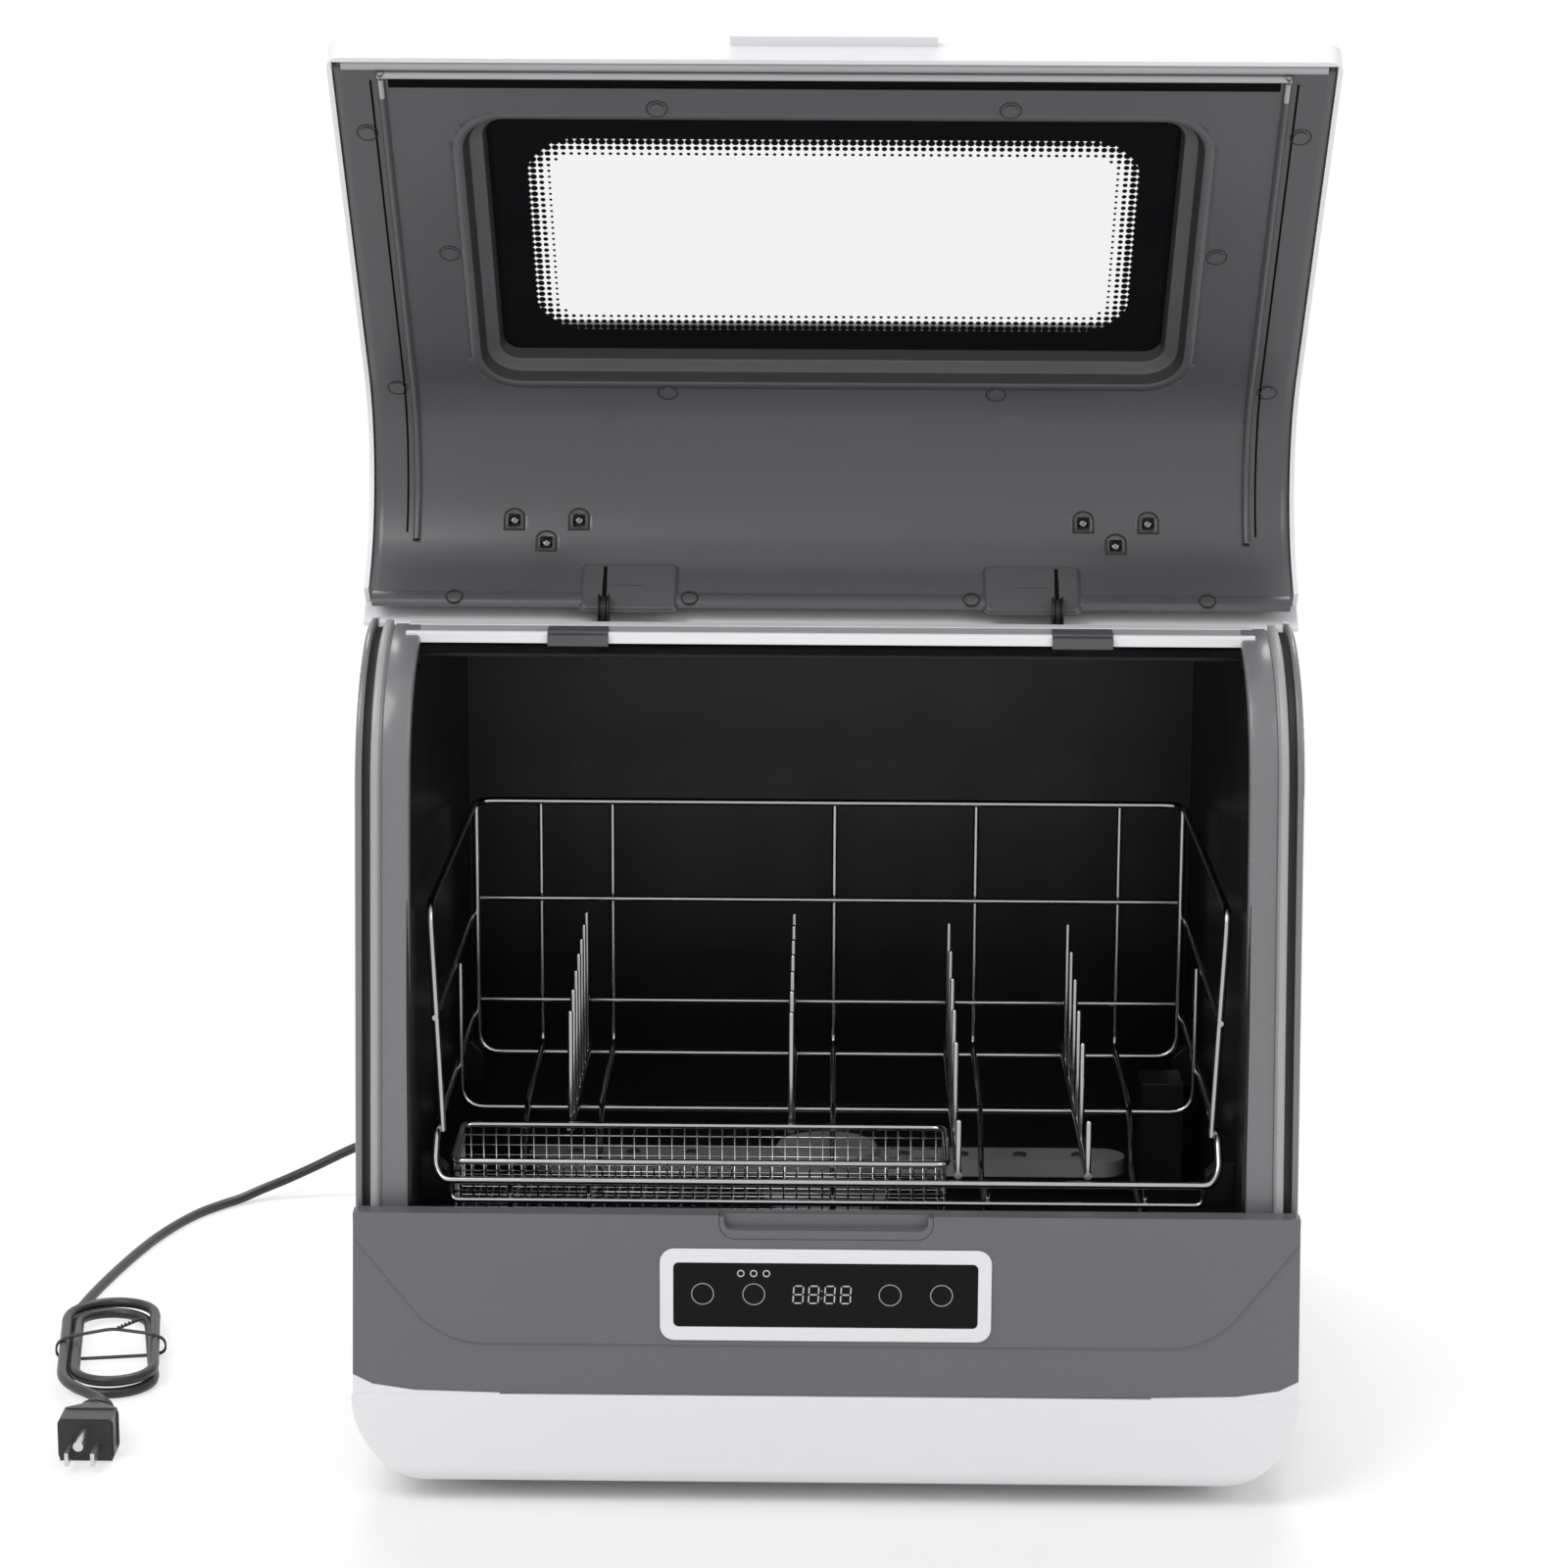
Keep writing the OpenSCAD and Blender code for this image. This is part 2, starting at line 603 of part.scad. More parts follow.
module spray_hub() color("gray") translate([0, arm_y, 0]) difference() {
    union() {
        translate([0, 0, tub_floor - 9]) cylinder(h = 10, d = 58);
        translate([0, 0, tub_floor + 0.05]) cylinder(h = 3, d = 66);
        translate([0, 0, tub_floor]) cylinder(h = arm_z - tub_floor + 7.6, d = 20);
        translate([0, 0, tub_floor]) cylinder(h = arm_z - tub_floor - 0.3, d = 30);
    }
    translate([0, 0, tub_floor - 10]) cylinder(h = 30, d = 14);
}

module filter_tower() color([0.2, 0.2, 0.22]) translate([tower_x, tower_y, 0]) difference() {
    translate([0, 0, tub_floor - 18]) cube([tower_w, tower_d, 73]);
    translate([2, 2, tub_floor - 16]) cube([tower_w - 4, tower_d - 4, 69]);
    for (i = [0:7]) translate([-10, 4, tub_floor + 5 + i * 5]) cube([40, tower_d - 8, 2]);
}

module sump() color([0.25, 0.25, 0.27]) {
    difference() {
        union() {
            translate([0, arm_y, 58]) cylinder(h = tub_floor - tub_t - 58, d = 90);
            translate([0, arm_y - 30, 66]) cube([192, 110, tub_floor - tub_t - 66]);
        }
        translate([0, arm_y, 61]) cylinder(h = 60, d = 78);
        translate([20, arm_y - 27, 69]) cube([169, 104, 60]);
    }
}

module wash_pump() color("dimgray") translate([-95.3, arm_y, 48]) rotate([0, 90, 0]) difference() {
    union() {
        cylinder(h = 50, d = 62);
        translate([0, 0, -50]) cylinder(h = 51, d = 50);
    }
    translate([0, 0, 25]) cylinder(h = 22, d = 54);
    translate([0, 0, -20]) cylinder(h = 80, d = 8.1);
}

module wash_impeller() color("ivory") translate([-95.3, arm_y, 48]) rotate([0, 90, 0]) {
    translate([0, 0, -19]) cylinder(h = 62, d = 8);
    translate([0, 0, 28]) cylinder(h = 3, d = 46);
    for (a = [0:60:300]) rotate([0, 0, a]) translate([3, -1, 30]) cube([19, 2, 12]);
}

module drain_pump() color("darkslategray") translate([120, arm_y + 90, 35.2]) rotate([-90, 0, 0]) difference() {
    union() {
        cylinder(h = 30, d = 44);
        translate([0, 0, -34]) cylinder(h = 35, d = 36);
    }
    translate([0, 0, 8]) cylinder(h = 20, d = 38);
    translate([0, 0, -20]) cylinder(h = 60, d = 6.1);
}

module drain_impeller() color("ivory") translate([120, arm_y + 90, 35.2]) rotate([-90, 0, 0]) {
    translate([0, 0, -19]) cylinder(h = 45, d = 6);
    for (a = [0:90:270]) rotate([0, 0, a]) translate([2, -1, 10]) cube([15, 2, 15]);
}

module heater() color("silver") {
    wire([[60, arm_y - 24, 79], [60, arm_y - 10, 79], [170, arm_y - 10, 79], [170, arm_y + 6, 79],
        [50, arm_y + 6, 79], [50, arm_y + 22, 79], [150, arm_y + 22, 79]], 6.5);
    translate([48, arm_y - 26.9, 72]) cube([24, 4, 14]);
}

module hoses() color([0.15, 0.15, 0.15]) {
    wire([[-60, arm_y, 79.3], [-60, arm_y, 90], [-45.5, arm_y, 90]], 14);
    wire([[120, arm_y + 120.3, 35.2], [120, arm_y + 145, 35.2], [150, arm_y + 160, 60], [150, rear - 22.8, 79]], 16);
}

tank_z = 110;
tank_w = tub_half + 50;
module water_tank() color("aliceblue") difference() {
    union() {
        translate([-60, tub_back + tub_t + 0.4, tank_z]) cube([tank_w, 60, tub_top - tank_z]);
        translate([120, rear - 45, tub_top - 2]) cylinder(h = body_h - tub_top - 3.3, d = 42);
    }
    translate([-57, tub_back + tub_t + 3.4, tank_z + 3]) cube([tank_w - 6, 54, tub_top - tank_z - 6]);
    translate([120, rear - 45, tub_top - 20]) cylinder(h = 60, d = 38);
}

module tank_cap() color("lightgray") {
    translate([120, rear - 45, body_h - 5]) cylinder(h = 5, d = 45);
    translate([120, rear - 45, body_h - 15]) cylinder(h = 11, d = 36.6);
    translate([100, rear - 46.5, body_h - 1]) cube([40, 3, 4]);
}

module fan_housing() color("dimgray") translate([-130, tub_back + tub_t, fan_z]) rotate([-90, 0, 0]) {
    difference() {
        cylinder(h = 28, d = 72);
        translate([0, 0, 3]) cylinder(h = 22, d = 66);
        translate([0, 0, -1]) cylinder(h = 10, d = 36);
        translate([0, 0, 20]) cylinder(h = 10, d = 5.1);
        for (a = [0:60:300]) rotate([0, 0, a]) translate([18, 0, 20]) cylinder(h = 10, d = 12);
    }
}

module fan_rotor() color("black") translate([-130, tub_back + tub_t, fan_z]) rotate([-90, 0, 0]) {
    translate([0, 0, 8]) cylinder(h = 18.8, d = 5);
    translate([0, 0, 9]) cylinder(h = 10, d = 22);
    for (a = [0:60:300]) rotate([0, 0, a]) translate([9.5, -0.8, 10]) cube([20, 1.6, 8]);
}

module float_guide() color("gray") translate([-170, front + 60, 0]) difference() {
    union() {
        translate([0, 0, 70]) cylinder(h = tub_floor - tub_t - 70, d = 24);
        translate([0, 0, 70]) cylinder(h = 31, d = 9.8);
    }
    translate([0, 0, 66]) cylinder(h = 50, d = 6.1);
}

module float_cup() color("ivory") translate([-170, front + 60, 0]) {
    translate([0, 0, 74]) cylinder(h = 30, d = 6);
    translate([0, 0, 101.3]) cylinder(h = 7, d = 26);
}

module main_board() color("darkgreen") translate([-182, front + 220, 0]) {
    translate([0, 0, 62]) cube([70, 100, 1.6]);
    translate([4, 6, 63.6]) cube([30, 26, 22]);
    translate([42, 10, 63.6]) cube([22, 18, 16]);
    translate([10, 60, 63.6]) cube([50, 12, 12]);
    for (x = [4, 66], y = [4, 96]) translate([x, y, base_z + wall + 0.1]) cylinder(h = 49.4, d = 6);
}

module drain_outlet() color("dimgray") translate([150, rear, 80]) rotate([90, 0, 0]) difference() {
    union() {
        translate([0, 0, -1.5]) cylinder(h = 1.5, d = 34);
        translate([0, 0, -1.5]) cylinder(h = 21, d = 25.6);
    }
    translate([0, 0, -5]) cylinder(h = 20, d = 17);
}

// Cradles on the tub walls that hold the lower corners of the rack
module rack_rests() color("black") for (s = [-1, 1], y = [rack_post - 5, rack_back - 5])
    translate([0, y + 10, 0]) rotate([90, 0, 0]) linear_extrude(10) polygon([[s * tub_half, 138],
        [s * (rack_half - 2.5), 138], [s * (rack_half - 2.5), floor_z + 0.2], [s * (rack_half + 4), floor_z + 6.7],
        [s * tub_half, floor_z + 6.7]]);

// ---- mains cord ---------------------------------------------------------

cord_d = 5.6;
gland = [-150, rear, 75];
module cord_gland() color("black") translate(gland) rotate([-90, 0, 0]) {
    difference() {
        union() {
            translate([0, 0, -6]) cylinder(h = 8, d = 15.8);
            cylinder(h = 3, d = 22);
            for (i = [0:3]) translate([0, 0, 3 + i * 7]) cylinder(h = 5, d = 13 - i * 1.4);
            cylinder(h = 30, d = 7.8);
        }
        translate([0, 0, -10]) cylinder(h = 60, d = cord_d);
    }
}

cord_route = [[-150, 199, 75], [-150, 232, 75], [-157, 252, 73], [-190, 273, 61], [-240, 281, 43],
    [-286, 274, 26], [-322, 263, 11], [-346, 250, 4.2], [-364, 228, 2.9], [-380, 197, 2.9],
    [-391, 152, 2.9], [-398, 109, 2.9], [-404, 70, 2.9], [-406, 45, 4.4], [-405.3, 23.8, 6.9]];
cord_out = [[-392, -52, 6.9], [-388, -66, 7.4], [-379, -82, 8.8], [-369, -97, 10.4], [-366, -106, 11]];

function unit(v) = v / norm(v);
// Smooth curve through the route points
function spline(p, i, t) = let (
    a = p[max(i - 1, 0)], b = p[i], c = p[i + 1], d = p[min(i + 2, len(p) - 1)])
    0.5 * (2 * b + (c - a) * t + (2 * a - 5 * b + 4 * c - d) * t * t + (3 * b - a - 3 * c + d) * t * t * t);
function curve(p, n) = concat([for (i = [0:len(p) - 2], k = [0:n - 1]) spline(p, i, k / n)], [p[len(p) - 1]]);

module tube(pts, d, sides = 10) {
    n = len(pts);
    dirs = [for (i = [0:n - 1]) unit(pts[min(i + 1, n - 1)] - pts[max(i - 1, 0)])];
    rings = [for (i = [0:n - 1]) let (u = unit(cross(dirs[i], [0.02, 0.03, 1])), v = cross(dirs[i], u))
        for (k = [0:sides - 1]) pts[i] + d / 2 * (cos(360 * k / sides) * u + sin(360 * k / sides) * v)];
    polyhedron(points = rings, faces = concat([[for (k = [0:sides - 1]) k]],
        [for (i = [0:n - 2], k = [0:sides - 1]) [i * sides + k, (i + 1) * sides + k,
            (i + 1) * sides + (k + 1) % sides, i * sides + (k + 1) % sides]],
        [[for (k = [sides - 1:-1:0]) (n - 1) * sides + k]]));
}

module power_cord() color([0.08, 0.08, 0.08]) {
    tube(curve(cord_route, 3), cord_d);
    tube(curve(cord_out, 2), cord_d);
}

// Hanked cord: outer shape of the oval bundle held by a tie
module cord_bundle() color([0.08, 0.08, 0.08]) translate([-378, -10, 6.9]) rotate([0, 0, 10]) {
    loop_r = 21;
    half = 38;
    for (s = [-1, 1]) {
        translate([s * loop_r, 0, 0]) rotate([90, 0, 0]) cylinder(h = 2 * half, d = 13.7, center = true);
        translate([0, s * half, 0]) rotate([0, 0, 90 - s * 90])
            rotate_extrude(angle = 180) translate([loop_r, 0]) circle(d = 13.7);
    }
    translate([-loop_r, -4, -5]) cube([2 * loop_r, 5, 10]);
}

module plug() color([0.08, 0.08, 0.08]) translate([-366, -106.2, 11]) rotate([90, 0, 0]) {
    hull() {
        cylinder(h = 2, d = 9);
        translate([0, 0, 20]) cylinder(h = 2, d = 20);
    }
    hull() {
        translate([0, 0, 20]) cylinder(h = 2, d = 20);
        translate([-13, -10.5, 30]) cube([26, 21, 18]);
    }
    for (x = [-6.4, 6.4]) translate([x - 0.8, -6.5, 47]) cube([1.6, 6.4, 18]);
    translate([0, 4.5, 47]) cylinder(h = 20, d = 4.8);
}

base_tray();
feet();
front_panel();
finger_notch();
control_frame();
control_glass();
control_board();
display_module();
touch_springs();
side_left();
side_right();
top_cover();
rear_cover();
opening_frame();
cross_bar();
tub();
hinge_brackets();
hinge_pins();
hinge_springs();
lid_outer();
lid_liner();
lid_glass();
lid_glass_seal();
lid_seal();
lid_plugs();
lid_screws();
hinge_covers();
hinge_arms();
lid_magnet();
reed_switch();
rack_frame();
rack_floor();
tine_row_1();
tine_row_2();
tine_row_3();
tine_row_4();
cutlery_basket();
spray_arm();
spray_hub();
filter_tower();
sump();
wash_pump();
wash_impeller();
drain_pump();
drain_impeller();
heater();
hoses();
water_tank();
tank_cap();
fan_housing();
fan_rotor();
float_guide();
float_cup();
main_board();
drain_outlet();
rack_rests();
cord_gland();
power_cord();
cord_bundle();
plug();
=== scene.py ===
"""Looks of a countertop dishwasher with its lid open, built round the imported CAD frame."""

from __future__ import annotations

import json
import logging
import math
from dataclasses import dataclass, field
from enum import Enum
from typing import Callable, Iterable, Sequence

import bpy
from mathutils import Matrix, Vector

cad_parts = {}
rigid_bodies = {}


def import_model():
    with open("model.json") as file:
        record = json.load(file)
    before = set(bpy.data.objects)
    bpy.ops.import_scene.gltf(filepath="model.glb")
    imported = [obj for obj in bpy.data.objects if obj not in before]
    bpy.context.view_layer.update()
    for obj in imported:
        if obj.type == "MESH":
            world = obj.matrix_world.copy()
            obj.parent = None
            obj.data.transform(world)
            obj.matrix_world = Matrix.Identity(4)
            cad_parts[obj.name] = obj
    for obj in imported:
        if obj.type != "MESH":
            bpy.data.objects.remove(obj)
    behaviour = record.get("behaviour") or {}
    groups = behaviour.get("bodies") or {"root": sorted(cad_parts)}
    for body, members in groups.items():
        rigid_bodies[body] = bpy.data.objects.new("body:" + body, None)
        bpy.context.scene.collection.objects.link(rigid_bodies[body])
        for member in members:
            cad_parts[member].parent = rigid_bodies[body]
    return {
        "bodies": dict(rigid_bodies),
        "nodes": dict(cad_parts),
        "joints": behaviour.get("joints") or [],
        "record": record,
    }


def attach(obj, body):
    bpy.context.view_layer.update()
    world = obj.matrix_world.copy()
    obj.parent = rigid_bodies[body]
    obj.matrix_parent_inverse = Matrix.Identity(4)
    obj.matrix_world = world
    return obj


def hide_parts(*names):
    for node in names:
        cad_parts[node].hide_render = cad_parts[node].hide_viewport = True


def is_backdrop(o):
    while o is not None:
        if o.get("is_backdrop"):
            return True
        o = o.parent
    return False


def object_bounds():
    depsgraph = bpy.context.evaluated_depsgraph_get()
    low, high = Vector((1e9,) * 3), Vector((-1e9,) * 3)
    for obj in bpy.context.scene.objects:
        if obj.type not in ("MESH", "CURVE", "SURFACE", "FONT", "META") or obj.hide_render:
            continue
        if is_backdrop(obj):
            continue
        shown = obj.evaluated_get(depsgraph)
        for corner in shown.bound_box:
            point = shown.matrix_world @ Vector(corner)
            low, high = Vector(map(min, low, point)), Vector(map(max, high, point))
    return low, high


log = logging.getLogger("dishwasher")

# Millimetres in metres, y of the body's front plane, and half the body's width at its foot and top.
MM = 0.001
FRONT_PLANE = -205.0
BASE_HALF, TOP_HALF = 227.5, 220.0

Point = Sequence[float]
Place = tuple[float, float]
Outline = Sequence[Place]
Colour = tuple[float, float, float]
Socket = bpy.types.NodeSocket


# ---- shared effects ---------------------------------------------------------


class NodeBuilder:
    """Small helper that adds and wires shader nodes in one tree."""

    def __init__(self, tree: bpy.types.NodeTree) -> None:
        """Args:
            tree: the node tree that receives the nodes.
        """
        self.tree = tree

    def add(self, kind: str, **settings: object) -> bpy.types.Node:
        """Adds a node and sets its plain properties.

        Args:
            kind: Blender's type name of the node.
            settings: property names and values.

        Returns:
            The new node.
        """
        node = self.tree.nodes.new(kind)
        for key, value in settings.items():
            setattr(node, key, value)
        return node

    def link(self, out: Socket, into: Socket) -> None:
        """Connects two sockets.

        Args:
            out: the socket that gives the value.
            into: the socket that takes it.
        """
        self.tree.links.new(out, into)

    def math(self, op: str, a: object, b: object = None, c: object = None) -> Socket:
        """Adds one Math node.

        Args:
            op: the operation.
            a: first value or socket.
            b: second value or socket.
            c: third value or socket.

        Returns:
            The result's socket.
        """
        node = self.add("ShaderNodeMath", operation=op)
        for i, value in enumerate((a, b, c)):
            if value is None:
                continue
            if isinstance(value, Socket):
                self.link(value, node.inputs[i])
            else:
                node.inputs[i].default_value = float(value)
        return node.outputs[0]

    def length(self, a: Socket, b: Socket) -> Socket:
        """Args:
            a: first side.
            b: second side.

        Returns:
            The length across two sides at a right angle.
        """
        squares = self.math("ADD", self.math("MULTIPLY", a, a), self.math("MULTIPLY", b, b))
        return self.math("SQRT", squares)

    def ramp(self, value: Socket, low: float, high: float,
             to_low: object = 0.0, to_high: object = 1.0) -> Socket:
        """Maps a value from one range to another, held at the ends.

        Args:
            value: the socket to map.
            low: start of the input range.
            high: end of the input range.
            to_low: result at low, a number or a socket.
            to_high: result at high, a number or a socket.

        Returns:
            The mapped value's socket.
        """
        node = self.add("ShaderNodeMapRange", clamp=True)
        self.link(value, node.inputs["Value"])
        node.inputs["From Min"].default_value = low
        node.inputs["From Max"].default_value = high
        for name, end in (("To Min", to_low), ("To Max", to_high)):
            if isinstance(end, Socket):
                self.link(end, node.inputs[name])
            else:
                node.inputs[name].default_value = float(end)
        return node.outputs["Result"]

    def noise(self, vector: Socket, scale: object, detail: float = 2.0) -> Socket:
        """Adds a noise texture.

        Args:
            vector: where the noise is looked up.
            scale: a number or a socket.
            detail: octaves of detail.

        Returns:
            The noise value's socket.
        """
        node = self.add("ShaderNodeTexNoise")
        self.link(vector, node.inputs["Vector"])
        node.inputs["Detail"].default_value = detail
        if isinstance(scale, Socket):
            self.link(scale, node.inputs["Scale"])
        else:
            node.inputs["Scale"].default_value = float(scale)
        return node.outputs[0]

    def blend(self, mask: Socket, a: object, b: object) -> Socket:
        """Mixes two colours by a mask.

        Args:
            mask: 0 gives a, 1 gives b.
            a: a colour or a socket.
            b: a colour or a socket.

        Returns:
            The mixed colour's socket.
        """
        node = self.add("ShaderNodeMix", data_type="RGBA")
        self.link(mask, node.inputs[0])
        for i, value in ((6, a), (7, b)):
            if isinstance(value, Socket):
                self.link(value, node.inputs[i])
            else:
                node.inputs[i].default_value = (*value, 1.0)
        return node.outputs[2]


def new_group(name: str, takes: Sequence[tuple[str, str]],
              gives: Sequence[tuple[str, str]]) -> tuple[bpy.types.NodeTree, NodeBuilder, dict, dict]:
    """Makes an empty shader node group.

    Args:
        name: the group's name.
        takes: name and kind of each input.
        gives: name and kind of each output.

    Returns:
        The tree, its builder, and its inner input and output sockets by name.
    """
    kinds = {"float": "NodeSocketFloat", "colour": "NodeSocketColor", "vector": "NodeSocketVector"}
    tree = bpy.data.node_groups.new(name, "ShaderNodeTree")
    for label, kind in takes:
        tree.interface.new_socket(label, in_out="INPUT", socket_type=kinds[kind])
    for label, kind in gives:
        tree.interface.new_socket(label, in_out="OUTPUT", socket_type=kinds[kind])
    build = NodeBuilder(tree)
    inner = build.add("NodeGroupInput")
    outer = build.add("NodeGroupOutput")
    return tree, build, {s.name: s for s in inner.outputs}, {s.name: s for s in outer.inputs}


def make_moulded() -> bpy.types.NodeTree:
    """Surface of a moulded plastic: fine grain, slow waviness and uneven gloss.

    Returns:
        The node group.
    """
    tree, b, i, o = new_group(
        "fx_moulded",
        [("Colour", "colour"), ("Roughness", "float"), ("Grain", "float"), ("Variation", "float")],
        [("Colour", "colour"), ("Roughness", "float"), ("Height", "float")])
    # Noise scales, how far the gloss swings, and the shares of grain and waviness in the relief.
    wave_scale, patch_scale = 7.0, 31.0
    gloss_swing, least_roughness = 0.16, 0.03
    fine_share, slow_share = 0.7, 0.6
    place = b.add("ShaderNodeTexCoord").outputs["Object"]
    slow = b.noise(place, wave_scale, 3.0)
    fine = b.noise(place, i["Grain"], 2.0)
    tone = b.add("ShaderNodeHueSaturation")
    b.link(i["Colour"], tone.inputs["Color"])
    shade = b.math("MULTIPLY_ADD", b.math("SUBTRACT", slow, 0.5), i["Variation"], 1.0)
    b.link(shade, tone.inputs["Value"])
    b.link(tone.outputs[0], o["Colour"])
    patches = b.math("SUBTRACT", b.noise(place, patch_scale, 4.0), 0.5)
    gloss = b.math("MULTIPLY_ADD", patches, gloss_swing, i["Roughness"])
    b.link(b.math("MAXIMUM", gloss, least_roughness), o["Roughness"])
    relief = [b.math("MULTIPLY", fine, fine_share), b.math("MULTIPLY", slow, slow_share)]
    b.link(b.math("ADD", *relief), o["Height"])
    return tree


def make_drawn() -> bpy.types.NodeTree:
    """Drawn or brushed metal: streaks along one direction and small spots.

    Returns:
        The node group.
    """
    tree, b, i, o = new_group(
        "fx_drawn",
        [("Colour", "colour"), ("Roughness", "float"), ("Stretch", "vector")],
        [("Colour", "colour"), ("Roughness", "float"), ("Height", "float")])
    # Dull spots: noise scale, the noise that starts and completes one, its strength and colour.
    spot_scale, spot_low, spot_high, spot_strength = 90.0, 0.35, 0.75, 0.18
    spot_colour: Colour = (0.30, 0.30, 0.30)
    streak_swing = 0.22
    place = b.add("ShaderNodeTexCoord").outputs["Object"]
    scaled = b.add("ShaderNodeVectorMath", operation="MULTIPLY")
    b.link(place, scaled.inputs[0])
    b.link(i["Stretch"], scaled.inputs[1])
    streak = b.noise(scaled.outputs[0], 1.0, 4.0)
    spots = b.noise(place, spot_scale, 2.0)
    dulled = b.ramp(spots, spot_low, spot_high, 0.0, spot_strength)
    b.link(b.blend(dulled, i["Colour"], spot_colour), o["Colour"])
    swing = b.math("SUBTRACT", streak, 0.5)
    b.link(b.math("MULTIPLY_ADD", swing, streak_swing, i["Roughness"]), o["Roughness"])
    b.link(streak, o["Height"])
    return tree


def make_dots() -> bpy.types.NodeTree:
    """Printed border that breaks into rows of dots round a clear rectangle with round corners.

    Returns:
        The node group.
    """
    tree, b, i, o = new_group(
        "fx_dots",
        [("Vector", "vector"), ("Pitch", "float"), ("Half Width", "float"), ("Half Height", "float"),
         ("Rows", "float"), ("Corner", "float")],
        [("Ink", "float")])
    # Radius of the dots next to the clear middle, and how much it grows to the last row, in pitches.
    first_size, growth = 0.18, 0.36
    split = b.add("ShaderNodeSeparateXYZ")
    b.link(i["Vector"], split.inputs[0])
    beyond = []
    for k, half in enumerate(("Half Width", "Half Height")):
        past = b.math("SUBTRACT", b.math("ABSOLUTE", split.outputs[k]), i[half])
        beyond.append(b.math("MAXIMUM", b.math("ADD", past, i["Corner"]), 0.0))
    outside = b.math("DIVIDE", b.math("SUBTRACT", b.length(*beyond), i["Corner"]), i["Pitch"])
    steps = [b.math("DIVIDE", split.outputs[k], i["Pitch"]) for k in (0, 1)]
    away = b.length(*(b.math("SUBTRACT", b.math("FRACT", step), 0.5) for step in steps))
    size = b.math("MULTIPLY_ADD", b.math("DIVIDE", outside, i["Rows"]), growth, first_size)
    dot = b.math("LESS_THAN", away, size)
    inside = b.math("GREATER_THAN", outside, 0.0)
    solid = b.math("GREATER_THAN", outside, i["Rows"])
    b.link(b.math("MAXIMUM", solid, b.math("MULTIPLY", dot, inside)), o["Ink"])
    return tree


class Surface(Enum):
    """What a finish is made of."""

    PLASTIC = "plastic"
    METAL = "metal"


@dataclass(frozen=True)
class Finish:
    """One procedural finish.

    Args:
        name: the material's name, which is also its slot in the record.
        colour: base colour, linear.
        roughness: mean roughness.
        surface: plastic or metal.
        grain: scale of the fine grain.
        bump: strength of the surface relief.
        variation: how far the tone drifts.
        coat: clear coat weight.
        stretch: stretch of the streaks on metal.
        specular: level of the plain reflection.
        coat_roughness: roughness of the clear coat.
        relief: height of the surface relief, in metres.
    """

    name: str
    colour: Colour
    roughness: float
    surface: Surface = Surface.PLASTIC
    grain: float = 900.0
    bump: float = 0.04
    variation: float = 0.05
    coat: float = 0.0
    stretch: tuple[float, float, float] = (60.0, 900.0, 900.0)
    specular: float = 0.5
    coat_roughness: float = 0.12
    relief: float = 0.0006

    def build(self, groups: dict[str, bpy.types.NodeTree]) -> bpy.types.Material:
        """Makes the material.

        Args:
            groups: the shared effect groups by name.

        Returns:
            The material.
        """
        mat = bpy.data.materials.new(self.name)
        mat.use_nodes = True
        shader = mat.node_tree.nodes["Principled BSDF"]
        b = NodeBuilder(mat.node_tree)
        metal = self.surface is Surface.METAL
        fx = b.add("ShaderNodeGroup")
        fx.node_tree = groups["fx_drawn" if metal else "fx_moulded"]
        fx.inputs["Colour"].default_value = (*self.colour, 1.0)
        fx.inputs["Roughness"].default_value = self.roughness
        if metal:
            fx.inputs["Stretch"].default_value = self.stretch
        else:
            fx.inputs["Grain"].default_value = self.grain
            fx.inputs["Variation"].default_value = self.variation
        b.link(fx.outputs["Colour"], shader.inputs["Base Color"])
        b.link(fx.outputs["Roughness"], shader.inputs["Roughness"])
        bump = b.add("ShaderNodeBump")
        bump.inputs["Strength"].default_value = self.bump
        bump.inputs["Distance"].default_value = self.relief
        b.link(fx.outputs["Height"], bump.inputs["Height"])
        b.link(bump.outputs["Normal"], shader.inputs["Normal"])
        shader.inputs["Metallic"].default_value = 1.0 if metal else 0.0
        shader.inputs["Coat Weight"].default_value = self.coat
        shader.inputs["Coat Roughness"].default_value = self.coat_roughness
        shader.inputs["Specular IOR Level"].default_value = self.specular
        return mat


